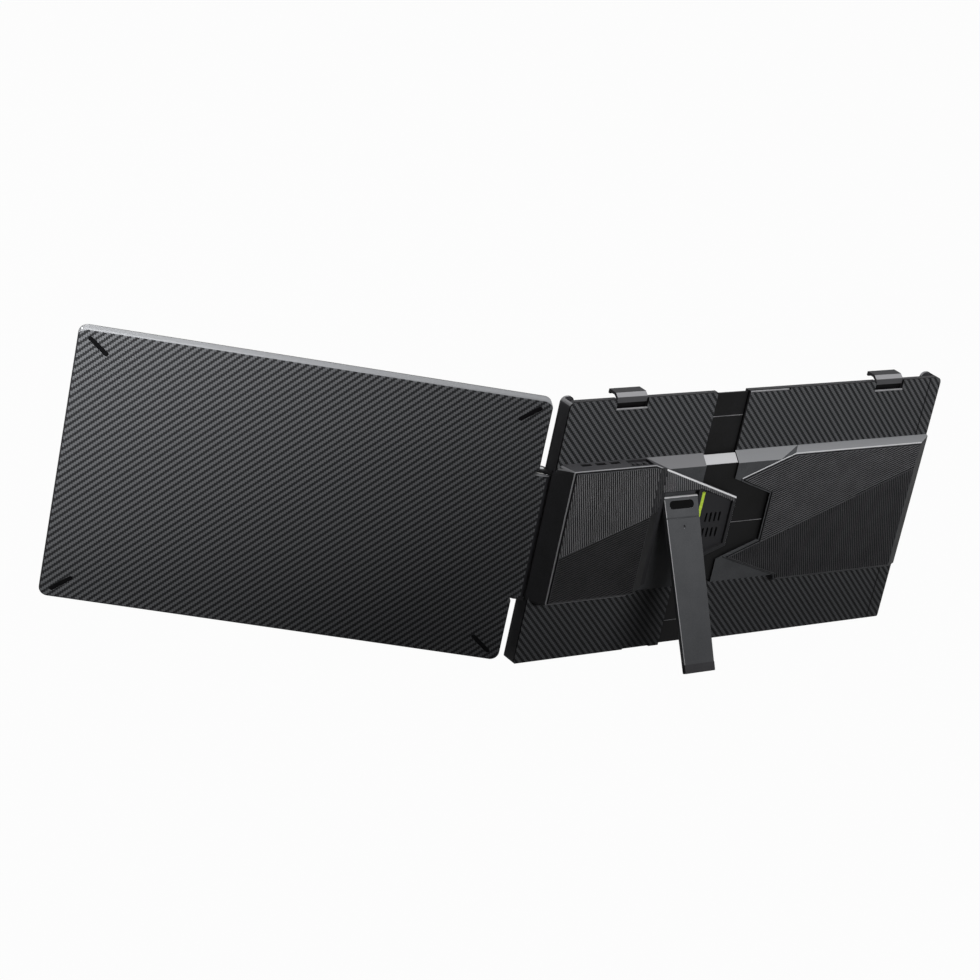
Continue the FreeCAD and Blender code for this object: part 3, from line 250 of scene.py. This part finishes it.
class StageSizes(bpy.types.PropertyGroup):
    """The studio's lamps."""

    screen_lamp: bpy.props.FloatProperty(
        name="Screen lamp", description="Soft lamp off the screen's free upper corner",
        default=33.0, min=0, unit="POWER")
    bracket_lamp: bpy.props.FloatProperty(
        name="Bracket lamp", description="Soft lamp behind the bracket", default=106.0, min=0, unit="POWER")
    top_lamp: bpy.props.FloatProperty(
        name="Top lamp", description="Soft lamp straight above the bracket, for its upper edges",
        default=7.0, min=0, unit="POWER")
    front_lamp: bpy.props.FloatProperty(
        name="Front lamp", description="Soft lamp before the screen's glass",
        default=16.0, min=0, unit="POWER")
    ambient: bpy.props.FloatProperty(
        name="Ambient", description="Strength of the even light from all round", default=0.05, min=0, max=1)


def add(tree, kind, inputs=None, **settings):
    """Adds a node: settings are its own values, and inputs give each socket a value or the socket to link
    it to."""
    made = tree.nodes.new(kind)
    for name, value in settings.items():
        setattr(made, name, value)
    for key, value in (inputs or {}).items():
        if isinstance(value, bpy.types.NodeSocket):
            tree.links.new(value, made.inputs[key])
        else:
            made.inputs[key].default_value = value
    return made


def start_tree(block):
    """The emptied node tree of a material or a world."""
    block.use_nodes = True
    block.node_tree.nodes.clear()
    return block.node_tree


def start_material(name):
    """A new material, its empty tree and its texture coordinates."""
    made = bpy.data.materials.new(name)
    tree = start_tree(made)
    return made, tree, add(tree, "ShaderNodeTexCoord")


def end_material(tree, colour, rough, relief, sheen, metallic):
    """Ends a material's tree in a shader. Its specular level and metallic are the same all over."""
    shader = add(tree, "ShaderNodeBsdfPrincipled", {
        "Base Color": colour.outputs[MIXED], "Roughness": rough.outputs[0], "Normal": relief.outputs[0],
        "Specular IOR Level": sheen, "Metallic": metallic})
    add(tree, "ShaderNodeOutputMaterial", {"Surface": shader.outputs[0]})


def looking(colour, axis, least, most=NO_LIMIT, out=None):
    """A tint for the faces whose normal, taken along the axis, lies between two values. Where out is given,
    they also stand at least so many millimetres out of the back of the plates, or in from it below nought."""
    return {"colour": linear(colour), "axis": axis, "least": least, "most": most, "out": out}


def bevel_highlight(colour, out=None):
    """A painted highlight: a lighter tint on the bevel faces round the faces that look back."""
    return looking(colour, BACK_OF_BRACKET, *BEVEL_LEAN, out)


def tinted(tree, place, colour, tints):
    """Lays each tint over the colour on its own faces."""
    for tint in tints:
        facing = add(tree, "ShaderNodeVectorMath", {0: place.outputs["Normal"], 1: tint["axis"]},
                     operation="DOT_PRODUCT")
        above = add(tree, "ShaderNodeMath", {0: facing.outputs["Value"], 1: tint["least"]},
                    operation="GREATER_THAN")
        below = add(tree, "ShaderNodeMath", {0: facing.outputs["Value"], 1: tint["most"]},
                    operation="LESS_THAN")
        share = add(tree, "ShaderNodeMath", {0: above.outputs[0], 1: below.outputs[0]}, operation="MULTIPLY")
        if tint["out"] is not None:
            spot = add(tree, "ShaderNodeSeparateXYZ", {0: place.outputs["Object"]})
            limit = BRACKET_CORNER[1] - tint["out"] * MM
            raised = add(tree, "ShaderNodeMath", {0: spot.outputs["Y"], 1: limit}, operation="LESS_THAN")
            share = add(tree, "ShaderNodeMath", {0: share.outputs[0], 1: raised.outputs[0]},
                        operation="MULTIPLY")
        colour = add(tree, "ShaderNodeMix", {
            0: share.outputs[0], COLOUR_A: colour.outputs[MIXED], COLOUR_B: tint["colour"]}, data_type="RGBA")
    return colour


def grained(name, light, dark, grain, roughness, bump=0.1, stretch=(1, 1, 1), tints=(), sheen=0.5,
            metallic=0.0):
    """A finish with an irregular grain: two noises, one of the given size in millimetres and one much
    broader, mix two colours and move the roughness between two values. The finer one also lifts the surface
    a little."""
    grain *= MM
    made, tree, place = start_material(name)
    turned = add(tree, "ShaderNodeMapping", {0: place.outputs["Object"], "Scale": stretch})
    fine = add(tree, "ShaderNodeTexNoise", {
        "Vector": turned.outputs[0], "Scale": 1 / grain, "Detail": 3.0})
    broad = add(tree, "ShaderNodeTexNoise", {
        "Vector": turned.outputs[0], "Scale": MOTTLING / grain, "Detail": 2.0})
    both = add(tree, "ShaderNodeMath", {0: fine.outputs[0], 1: broad.outputs[0]}, operation="ADD")
    share = add(tree, "ShaderNodeMapRange", {
        0: both.outputs[0], "From Min": GRAIN_RANGE[0], "From Max": GRAIN_RANGE[1]})
    colour = add(tree, "ShaderNodeMix", {
        0: share.outputs[0], COLOUR_A: linear(dark), COLOUR_B: linear(light)}, data_type="RGBA")
    rough = add(tree, "ShaderNodeMapRange", {
        0: share.outputs[0], "To Min": roughness[0], "To Max": roughness[1]})
    relief = add(tree, "ShaderNodeBump", {
        "Strength": bump, "Distance": GRAIN_RELIEF * grain, "Height": fine.outputs[0]})
    end_material(tree, tinted(tree, place, colour, tints), rough, relief, sheen, metallic)
    return made


def spark_eroded(name, light, dark, tints=()):
    """Spark-eroded ABS: an even fine grain that spreads light softly. Its 0.3 mm grit is drawn at 0.9 mm."""
    return grained(name, light, dark, 0.9, (0.45, 0.58), 0.15, tints=tints, sheen=DULL)


def twill(name, back, turn, hand, colours, tow, tints=()):
    """A two-over-two twill. In units of the tow width, cell (i, j) shows the upright tow where i and j, added
    or subtracted, leave a remainder under 2 when divided by 4; each tow is brightest along its middle, a
    painted highlight on its crown. The colours are those of the dark tow, the lit tow and the plain faces
    that don't look along back. Thin dark lines part the film from its turned-in edges; one of them is a
    painted shadow along the right plate's left edge."""
    dark, light, plain = colours
    made, tree, place = start_material(name)
    turned = add(tree, "ShaderNodeMapping", {
        0: place.outputs["Object"], "Rotation": (0.0, 0.0, turn), "Scale": (1 / tow, 1 / tow, 1 / tow)})
    axes = add(tree, "ShaderNodeSeparateXYZ", {0: turned.outputs[0]})
    cells, crowns = [], []
    for axis in ("X", "Z"):
        cells.append(add(tree, "ShaderNodeMath", {0: axes.outputs[axis]}, operation="FLOOR"))
        within = add(tree, "ShaderNodeMath", {0: axes.outputs[axis]}, operation="FRACT")
        off = add(tree, "ShaderNodeMath", {0: within.outputs[0], 1: 0.5}, operation="SUBTRACT")
        square = add(tree, "ShaderNodeMath", {0: off.outputs[0], 1: off.outputs[0]}, operation="MULTIPLY")
        crowns.append(add(tree, "ShaderNodeMath", {0: square.outputs[0], 1: -4.0, 2: 1.0},
                          operation="MULTIPLY_ADD"))
    count = add(tree, "ShaderNodeMath", {0: cells[0].outputs[0], 1: cells[1].outputs[0]}, operation=hand)
    rest = add(tree, "ShaderNodeMath", {0: count.outputs[0], 1: TWILL_REPEAT}, operation="FLOORED_MODULO")
    over = add(tree, "ShaderNodeMath", {0: rest.outputs[0], 1: TWILL_UPRIGHT}, operation="LESS_THAN")
    crown = add(tree, "ShaderNodeMix", {
        0: over.outputs[0], NUMBER_A: crowns[1].outputs[0], NUMBER_B: crowns[0].outputs[0]})
    lit = add(tree, "ShaderNodeMath", {0: over.outputs[0], 1: TOW_SHARE}, operation="MULTIPLY")
    share = add(tree, "ShaderNodeMath", {0: crown.outputs[0], 1: CROWN_SHARE, 2: lit.outputs[0]},
                operation="MULTIPLY_ADD")
    weave = add(tree, "ShaderNodeMix", {0: share.outputs[0], COLOUR_A: dark, COLOUR_B: light},
                data_type="RGBA")
    facing = add(tree, "ShaderNodeVectorMath", {0: place.outputs["Normal"], 1: back}, operation="DOT_PRODUCT")
    woven = add(tree, "ShaderNodeMath", {0: facing.outputs["Value"], 1: WOVEN_FACING},
                operation="GREATER_THAN")
    colour = add(tree, "ShaderNodeMix", {
        0: woven.outputs[0], COLOUR_A: linear(plain), COLOUR_B: weave.outputs[MIXED]}, data_type="RGBA")
    spot = add(tree, "ShaderNodeSeparateXYZ", {0: place.outputs["Object"]})
    for line, half in FILM_LINES:
        parted = add(tree, "ShaderNodeMath", {
            0: spot.outputs["X"], 1: BRACKET_CORNER[0] + line * MM, 2: half * MM}, operation="COMPARE")
        colour = add(tree, "ShaderNodeMix", {
            0: parted.outputs[0], COLOUR_A: colour.outputs[MIXED], COLOUR_B: dark}, data_type="RGBA")
    height = add(tree, "ShaderNodeMath", {0: crown.outputs[0], 1: woven.outputs[0]}, operation="MULTIPLY")
    relief = add(tree, "ShaderNodeBump", {
        "Strength": TOW_RELIEF, "Distance": TOW_HEIGHT, "Height": height.outputs[0]})
    rough = add(tree, "ShaderNodeMapRange", {
        0: share.outputs[0], "To Min": FILM_ROUGHNESS[0], "To Max": FILM_ROUGHNESS[1]})
    end_material(tree, tinted(tree, place, colour, tints), rough, relief, FILM_SHEEN, 0.0)
    return made


def paint(material, *names):
    """Gives CAD nodes a finish."""
    for name in names:
        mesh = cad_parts[name].data
        mesh.materials.clear()
        mesh.materials.append(material)


def in_row(points):
    """Bracket millimetres to metres in the row frame."""
    return np.asarray(points, float) * MM + BRACKET_CORNER


def rib_lines(zone, heading, pitch):
    """Ends of parallel lines across a convex zone.
    Line k holds the points whose distance across the heading is k pitches. Along a line every side of the
    zone gives a lower or an upper bound, and the line runs from the highest lower bound to the lowest
    upper one."""
    corners = np.asarray(zone, float)
    sides = np.roll(corners, -1, axis=0) - corners
    inward = np.stack([-sides[:, 1], sides[:, 0]], axis=1)
    along = np.array([math.cos(heading), math.sin(heading)])
    across = np.array([-along[1], along[0]])
    reach = corners @ across
    offsets = np.arange(math.ceil(reach.min() / pitch), math.floor(reach.max() / pitch) + 1) * pitch
    slope = inward @ along
    safe = np.where(np.abs(slope) < PARALLEL, PARALLEL, slope)
    bound = ((corners * inward).sum(1) - offsets[:, None] * (inward @ across)) / safe
    first = np.where(slope > PARALLEL, bound, -np.inf).max(1)
    last = np.where(slope < -PARALLEL, bound, np.inf).min(1)
    keep = last - first > SHORTEST_RIB
    base = offsets[keep, None] * across
    return base + first[keep, None] * along, base + last[keep, None] * along


def rib_profile(width, height):
    """Section of a rib: sloping flanks and a flat crest with eased corners, its foot sunk in the face."""
    across = np.array([-0.5, -0.44, -0.25, 0.25, 0.44, 0.5]) * width
    up = np.array([-0.15, 0.65, 1.0, 1.0, 0.65, -0.15]) * height
    return np.stack([across, up], axis=1)


def bars(starts, ends, profile, face):
    """Closed bars on a face that looks back. The ring at each end of a line is the profile, whose first
    coordinate is the distance across the line and whose second is the height above the face, which stands
    out by a distance that changes evenly between the places given along X."""
    starts, ends, profile = (np.asarray(x, float) for x in (starts, ends, profile))
    along = ends - starts
    along /= np.linalg.norm(along, axis=1, keepdims=True)
    across = np.stack([-along[:, 1], along[:, 0]], axis=1)
    plan = np.stack([starts, ends], axis=1)[:, :, None, :] + (
        profile[None, None, :, :1] * across[:, None, None, :])
    depth = -np.interp(plan[..., 0], *face) - profile[:, 1]
    points = np.stack([plan[..., 0], depth, plan[..., 1]], axis=-1).reshape(-1, 3)
    count, ring = len(starts), len(profile)
    first = (np.arange(count) * 2 * ring)[:, None]
    here, after = np.arange(ring), np.roll(np.arange(ring), -1)
    corners = (first + here, first + after, first + ring + after, first + ring + here)
    sides = np.stack(np.broadcast_arrays(*corners), axis=-1).reshape(-1, 4)
    caps = np.concatenate([first + here[::-1], first + ring + here])
    return points, sides.tolist() + caps.tolist()


def rim_bars(corners, profile, face):
    """Bars along every side of a closed outline."""
    return bars(corners, np.roll(corners, -1, axis=0), profile, face)


def straight_bar(first, last, height, profile, face):
    """A bar along X at one height."""
    return bars([(first, height)], [(last, height)], profile, face)


def make_piece(name, parts, material, body):
    """One mesh from several sets of points in bracket millimetres and their faces, riding on a body."""
    points, faces, count = [], [], 0
    for part_points, part_faces in parts:
        points.append(part_points)
        faces += [[count + i for i in face] for face in part_faces]
        count += len(part_points)
    mesh = bpy.data.meshes.new(name)
    mesh.from_pydata(in_row(np.concatenate(points)).tolist(), [], faces)
    shape = bmesh.new()
    shape.from_mesh(mesh)
    bmesh.ops.recalc_face_normals(shape, faces=shape.faces)
    shape.to_mesh(mesh)
    shape.free()
    mesh.materials.append(material)
    made = bpy.data.objects.new(name, mesh)
    bpy.context.scene.collection.objects.link(made)
    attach(made, body)


class MONITOR_OT_screen(bpy.types.Operator):
    """Finishes of the screen wing"""

    bl_idname = "monitor.dress_screen"
    bl_label = "Dress the screen"

    def execute(self, context):
        scene = context.scene
        colour, tow = scene.monitor_colours, scene.monitor_twill.tow
        # Twill-look film moulded over ABS: rows of short dashes that rise to the right, satin. Its upper edge
        # is painted lighter as a highlight.
        film = (colour.twill_dark, colour.twill_light, "#222224")
        paint(twill("twill_film_over_abs_screen", BACK_OF_SCREEN, FOLD, "SUBTRACT", film, tow,
                    [looking("#707173", UP, 0.35)]), "screen_back_cover")
        # Moulded silicone rubber: dull and nearly black.
        paint(grained("moulded_silicone_rubber", "#080809", "#040405", 1.2, (0.6, 0.8), sheen=0.03),
              "corner_pads", "left_lid_pads", "right_lid_pads")
        # Fine spark-eroded ABS: matt black frame round the picture.
        paint(grained("spark_eroded_abs_bezel", "#262627", "#1b1b1c", 0.9, (0.5, 0.62), 0.15), "screen_bezel")
        # Anti-glare panel glass: black with a weak, broad reflection and a hint of blue.
        paint(grained("anti_glare_panel_glass", "#0b0c10", "#08090b", 0.8, (0.22, 0.3), 0.04, sheen=0.12),
              "display_panel")
        # Polyester diffuser sheet over the light guide's tray: even matt white.
        paint(grained("diffuser_sheet_polyester", "#e9ebec", "#d5d8da", 3.0, (0.45, 0.6)), "backlight_unit")
        return {"FINISHED"}


class MONITOR_OT_bracket(bpy.types.Operator):
    """Finishes of the bracket's plates and mouldings, with painted highlights and shade, and the light grey
    lines in its grooves and notches, which paint highlights on their edges
    """

    bl_idname = "monitor.dress_bracket"
    bl_label = "Dress the bracket"

    def execute(self, context):
        scene = context.scene
        colour, tow = scene.monitor_colours, scene.monitor_twill.tow
        # The plates' film is the screen's, with its dashes rising the other way. Its edge faces are painted
        # nearly black as shade.
        film = (colour.twill_dark, colour.twill_light, "#0c0c0d")
        paint(twill("twill_film_over_abs_plates", BACK_OF_BRACKET, 0.0, "ADD", film, tow),
              "left_back_plate", "right_back_plate")
        # The spark-eroded mouldings carry painted light and shade, by the way each face looks. Their bevels
        # and upper faces, the housing's rounded shoulder and the cover's upper bevels are painted lighter as
        # highlights. Their undersides, the slope beside the arrow block, the cover's right end and the faces
        # in the gap between the halves are painted darker as shade, and the floors of the recesses in the
        # arrow block and the hooks are painted black as shade. The hooks' faces nearest the plates are a
        # lighter grey.
        dark = "#222223"
        paint(spark_eroded("spark_eroded_abs", colour.moulded, dark, [
            bevel_highlight("#7c7c7e", 8.0), looking("#3a3a3c", UP, 0.9), looking("#68686a", SHOULDER, 0.93),
            looking("#0e0e0f", DOWN, 0.6), looking("#1e1e1f", SLOPE, 0.985)]), "control_housing")
        paint(spark_eroded("spark_eroded_abs_base", colour.moulded, dark, [
            looking("#08080a", BACK_OF_BRACKET, 0.9), looking("#2a2a2c", BACK_OF_BRACKET, 0.9, out=9.0),
            bevel_highlight("#b4b4b6", 8.0), looking("#08080a", DOWN, 0.6), looking("#1e1e1f", SLOPE, 0.985)]),
            "kickstand_base")
        paint(spark_eroded("spark_eroded_abs_cover", "#4a4b4d", "#3e3f41", [
            looking("#737476", UP_AND_BACK, 0.8), looking("#a4a4a6", UP_AND_BACK, 0.8, out=8.0),
            looking("#0e0e0f", DOWN, 0.6), looking("#0c0c0d", LEFT, 0.95), looking("#1a1a1b", RIGHT, 0.3)]),
            "right_cover")
        paint(spark_eroded("spark_eroded_abs_sleeve", "#444547", "#3a3b3d", [bevel_highlight("#69696b")]),
              "slide_sleeve")
        paint(spark_eroded("spark_eroded_abs_hooks", colour.moulded, dark, [
            looking("#060607", BACK_OF_BRACKET, 0.9), looking("#444446", BACK_OF_BRACKET, 0.9, out=-2.0),
            bevel_highlight("#7a7a7c")]), "left_hook", "right_hook")
        paint(spark_eroded("spark_eroded_abs_frame", colour.moulded, dark),
              "left_frame", "right_frame", "rod_anchors")
        paint(spark_eroded("spark_eroded_abs_rails", "#38383a", "#2e2e30", [looking("#636365", UP, 0.35)]),
              "left_side_rail", "right_side_rail")
        # Smooth black ABS of the sliding members, a little duller where the halves rub. Its bevel is painted
        # lighter as a highlight.
        paint(grained("smooth_black_abs", colour.slide, "#101010", 1.4, (0.4, 0.5), 0.05,
                      tints=[bevel_highlight("#a8a8aa")], sheen=DULL), "slide_tongue", "slide_tray")
        # Light grey bars along the grooves, the sills and the finger notches: painted highlights on their
        # edges.
        painted_edge_highlight = grained("rubbed_abs_edge", "#8a8a8c", "#6c6c6e", 0.9, (0.4, 0.5), sheen=DULL)
        line, lip = rib_profile(*LINE_SIZE), rib_profile(*LIP_SIZE)
        for name, places, profile, face, body in (
            ("tray_lines", TRAY_LINES, line, TRAY_GROOVE, "bracket"),
            ("tongue_line", TONGUE_LINE, line, TONGUE_GROOVE, "bracket"),
            ("left_hook_sill", LEFT_HOOK_SILL, lip, PLATE_BACK, "bracket"),
            ("right_hook_sill", RIGHT_HOOK_SILL, lip, PLATE_BACK, "slider"),
            ("low_notch_lip", LOW_NOTCH_LIP, lip, NOTCH_FLOOR, "bracket"),
            ("top_notch_lip", TOP_NOTCH_LIP, lip, NOTCH_FLOOR, "slider"),
        ):
            parts = [straight_bar(*place, profile, face) for place in places]
            make_piece(name, parts, painted_edge_highlight, body)
        return {"FINISHED"}


class MONITOR_OT_ribs(bpy.types.Operator):
    """Fine raised ribs on both facings, the slope and the arrow block, with the beads round the facings"""

    bl_idname = "monitor.plate_ribs"
    bl_label = "Rib the facings"

    def execute(self, context):
        ribs = context.scene.monitor_ribs
        pitch = ribs.pitch / MM
        profile = rib_profile(ribs.width / MM, ribs.height / MM)
        rim = rib_profile(*BEAD_SIZE)

        def crest(name, light, dark):
            """A finish for the crests of a field."""
            return grained(name, light, dark, 1.0, (0.4, 0.5), sheen=DULL)

        def fields(outlines, heading, face):
            """Ribs across each outline."""
            return [bars(*rib_lines(outline, heading, pitch), profile, face) for outline in outlines]

        def bead(corners, divider, face):
            """The bead round a facing and across it, between its two fields."""
            return [rim_bars(corners, rim, face), bars(divider[:1], divider[1:], rim, face)]

        # Ribbed ABS: satin crests over darker valleys.
        paint(grained("ribbed_abs_valleys", "#131314", "#0d0d0e", 1.0, (0.5, 0.6), sheen=DULL),
              "left_ribbed_plate", "right_ribbed_plate")
        # The crests of each field are copies of one finish, painted lighter or darker with the light and
        # shade on the field: lightest on the upper left field and the arrow block, then the upper right
        # field, half shaded on the slope, the lower right field and the beads, darkest on the lower left
        # field.
        bright = crest("ribbed_abs_bright_crests", "#767678", "#646465")
        fair = crest("ribbed_abs_fair_crests", "#59595b", "#49494b")
        half_shaded_crests = crest("ribbed_abs_satin_crests", "#4a4a4c", "#3c3c3e")
        dark = crest("ribbed_abs_dark_crests", "#373738", "#2c2c2d")
        for name, parts, material, body in (
            ("left_upper_ribs", fields([LEFT_UPPER_FIELD], ribs.upright, LEFT_FACE), bright, "bracket"),
            ("left_lower_ribs", fields([LEFT_LOWER_FIELD], ribs.slant, LEFT_FACE), dark, "bracket"),
            ("left_bead", bead(LEFT_BEAD, LEFT_DIVIDER, LEFT_FACE), half_shaded_crests, "bracket"),
            ("slope_ribs", fields([SLOPE_FIELD], ribs.upright, SLOPE_FACE), half_shaded_crests, "bracket"),
            ("arrow_ribs", fields(ARROW_FIELDS, ribs.upright, ARROW_FACE), bright, "bracket"),
            ("right_upper_ribs", fields(RIGHT_UPPER_FIELDS, ribs.slant, RIGHT_FACE), fair, "slider"),
            ("right_lower_ribs", fields(RIGHT_LOWER_FIELDS, ribs.upright, RIGHT_FACE), half_shaded_crests, "slider"),
            ("right_bead", bead(RIGHT_BEAD, RIGHT_DIVIDER, RIGHT_FACE), half_shaded_crests, "slider"),
        ):
            make_piece(name, parts, material, body)
        return {"FINISHED"}


class MONITOR_OT_kickstand(bpy.types.Operator):
    """Finishes of the kickstand and the strip beside it"""

    bl_idname = "monitor.dress_kickstand"
    bl_label = "Dress the kickstand"

    def execute(self, context):
        colour = context.scene.monitor_colours
        # Powder-coated steel leg: satin grey with a faint orange-peel, drawn at 1.2 mm.
        # Its top end and upper left edge are painted lighter as highlights.
        paint(grained("powder_coated_steel_leg", colour.leg, "#424345", 1.2, (0.36, 0.44), 0.12,
                      tints=[looking("#a4a4a6", LEG_EDGE, 0.78), looking("#d0d0d2", UP, 0.75)], sheen=0.08),
              "kickstand_leg")
        # Moulded rubber foot: matt, and nearly as dark as the leg.
        paint(grained("moulded_rubber_foot", "#414143", "#39393b", 1.2, (0.6, 0.75), sheen=DULL),
              "kickstand_foot")
        # Black acrylic set in the leg, with an anti-reflection face.
        paint(grained("coated_black_acrylic", "#050506", "#030303", 2.0, (0.2, 0.3), 0.02, sheen=DULL),
              "kickstand_window")
        # Gloss polycarbonate strip, evenly coloured through.
        paint(grained("gloss_lime_polycarbonate", colour.accent, "#a8c41f", 2.0, (0.2, 0.3), 0.03),
              "accent_strip")
        return {"FINISHED"}


class MONITOR_OT_fittings(bpy.types.Operator):
    """Finishes of the metal, electrical and button parts"""

    bl_idname = "monitor.dress_fittings"
    bl_label = "Dress the fittings"

    def execute(self, context):
        # Cold-rolled steel: fine lines along the rolling direction.
        steel = grained("cold_rolled_steel", "#b2b4b6", "#8f9194", 0.6, (0.28, 0.4), 0.08, ROLLED,
                        metallic=1.0)
        paint(steel, "guide_rods", "kickstand_pin", "hinge_pin", "hinge_screws")
        # Blackened steel leaf: dark oxide with a dull sheen.
        paint(grained("black_oxide_steel", "#1b1b1c", "#131314", 0.8, (0.4, 0.5), 0.08, sheen=0.1),
              "hinge_bracket")
        # Drawn spring wire, darker from its heat treatment.
        paint(grained("drawn_spring_steel", "#8d8f92", "#6d6f72", 0.5, (0.3, 0.42), 0.08, metallic=1.0),
              "left_hook_spring", "right_hook_spring")
        # Natural acetal: milky white, waxy.
        paint(grained("natural_acetal", "#e6e6e0", "#dadad3", 2.0, (0.35, 0.45), 0.04),
              "hinge_washers", "rod_bushes")
        # Solder-masked glass-epoxy board: green, slightly mottled by the cloth under the mask.
        paint(grained("solder_masked_board", "#1f5a38", "#17472c", 1.0, (0.3, 0.42)),
              "control_board", "screen_board")
        # Black-nickel-plated port shells: the mouths look like dark holes.
        paint(grained("black_nickel_plated_steel", "#121213", "#0b0b0c", 0.8, (0.3, 0.4), 0.05, sheen=0.1),
              "usb_c_sockets", "hdmi_socket")
        # Black nylon switch bodies: dark and evenly matt.
        paint(grained("black_nylon", "#1d1d1e", "#151515", 0.8, (0.45, 0.55)), "button_switches")
        # Moulded buttons, polished a little more than the housing.
        paint(grained("polished_abs_buttons", "#3a3a3c", "#303032", 0.8, (0.3, 0.4), 0.08),
              "power_button", "menu_rocker", "back_button")
        return {"FINISHED"}


def seen_rays(tree):
    """One for a ray that the eye follows, straight, through a reflection or through glass, and nought for the
    rest."""
    ray = add(tree, "ShaderNodeLightPath")
    seen = add(tree, "ShaderNodeMath", {0: ray.outputs["Is Camera Ray"], 1: ray.outputs["Is Glossy Ray"]},
               operation="MAXIMUM")
    return add(tree, "ShaderNodeMath", {0: seen.outputs[0], 1: ray.outputs["Is Transmission Ray"]},
               operation="MAXIMUM").outputs[0]


class MONITOR_OT_stage(bpy.types.Operator):
    """Floor, lamps, surroundings and the camera"""

    bl_idname = "monitor.stage"
    bl_label = "Set the stage"

    def execute(self, context):
        scene, lamps = context.scene, context.scene.monitor_stage
        # Floor sweep: height is zero near the object and rises with the square of the distance past the rim.
        side = np.linspace(-FLOOR_HALF, FLOOR_HALF, FLOOR_POINTS)
        x, y = np.meshgrid(side, side)
        z = FLOOR_RISE * np.clip(np.hypot(x, y) - FLOOR_FLAT, 0, None) ** 2
        grid = np.arange(x.size).reshape(x.shape)
        corners = [grid[:-1, :-1], grid[:-1, 1:], grid[1:, 1:], grid[1:, :-1]]
        quads = np.stack(corners, axis=-1).reshape(-1, 4)
        mesh = bpy.data.meshes.new("floor_sweep")
        mesh.from_pydata(np.stack([x, y, z], axis=-1).reshape(-1, 3).tolist(), [], quads.tolist())
        floor = bpy.data.objects.new("floor_sweep", mesh)
        scene.collection.objects.link(floor)
        # Matt white paper sweep. Seen directly or in a reflection it is mostly plain white, and its own
        # diffuse part keeps the shadow.
        paper = bpy.data.materials.new("matt_white_paper")
        tree = start_tree(paper)
        white = add(tree, "ShaderNodeEmission", {"Color": WHITE, "Strength": 1.0})
        matt = add(tree, "ShaderNodeBsdfDiffuse", {"Color": linear("#3c3c3c")})
        share = add(tree, "ShaderNodeMath", {0: seen_rays(tree), 1: FLOOR_WHITE}, operation="MULTIPLY")
        both = add(tree, "ShaderNodeMixShader", {
            0: share.outputs[0], 1: matt.outputs[0], 2: white.outputs[0]})
        add(tree, "ShaderNodeOutputMaterial", {"Surface": both.outputs[0]})
        mesh.materials.append(paper)

        # Surroundings: plain white to the eye, and a weak even light on the object.
        world = bpy.data.worlds.new("studio_air")
        tree = start_tree(world)
        level = add(tree, "ShaderNodeMapRange", {0: seen_rays(tree), "To Min": lamps.ambient, "To Max": 1.0})
        air = add(tree, "ShaderNodeBackground", {"Color": WHITE, "Strength": level.outputs[0]})
        add(tree, "ShaderNodeOutputWorld", {"Surface": air.outputs[0]})
        scene.world = world

        for name, (size, place, aim) in LAMPS.items():
            light = bpy.data.lights.new(name, "AREA")
            light.energy, light.shape, light.size = getattr(lamps, name), "DISK", size
            lamp = bpy.data.objects.new(name, light)
            turn = Vector(aim).to_track_quat("-Z", "Y").to_matrix().to_4x4()
            lamp.matrix_world = Matrix.Translation(place) @ turn
            scene.collection.objects.link(lamp)

        camera = bpy.data.objects.new("camera", bpy.data.cameras.new("camera"))
        turn = Matrix(CAMERA_AXES).transposed().to_4x4()
        camera.matrix_world = Matrix.Translation(in_row(CAMERA_AT)) @ turn
        camera.data.lens, camera.data.sensor_width = LENS, SENSOR
        scene.collection.objects.link(camera)
        scene.camera = camera
        scene.view_settings.view_transform = "Standard"
        return {"FINISHED"}


SETTINGS = {"monitor_ribs": RibSizes, "monitor_twill": TwillSizes, "monitor_colours": FinishColours,
            "monitor_stage": StageSizes}
OPERATORS = (MONITOR_OT_screen, MONITOR_OT_bracket, MONITOR_OT_ribs, MONITOR_OT_kickstand,
             MONITOR_OT_fittings, MONITOR_OT_stage)


class MONITOR_PT_sidebar(bpy.types.Panel):
    """Lists the steps that dress the monitor and the values they use"""

    bl_idname = "MONITOR_PT_sidebar"
    bl_label = "Clip-on monitor"
    bl_space_type = "VIEW_3D"
    bl_region_type = "UI"
    bl_category = "Monitor"

    def draw(self, context):
        for step in OPERATORS:
            self.layout.operator(step.bl_idname)
        for name, group in SETTINGS.items():
            box = self.layout.box()
            for value in group.__annotations__:
                box.prop(getattr(context.scene, name), value)


def register():
    for made in (*SETTINGS.values(), *OPERATORS, MONITOR_PT_sidebar):
        bpy.utils.register_class(made)
    for name, group in SETTINGS.items():
        setattr(bpy.types.Scene, name, bpy.props.PointerProperty(type=group))


def unregister():
    for name in SETTINGS:
        delattr(bpy.types.Scene, name)
    for made in (MONITOR_PT_sidebar, *reversed(OPERATORS), *reversed(SETTINGS.values())):
        bpy.utils.unregister_class(made)


def main():
    register()
    for step in OPERATORS:
        family, name = step.bl_idname.split(".")
        getattr(getattr(bpy.ops, family), name)()


if __name__ == "__main__":
    main()
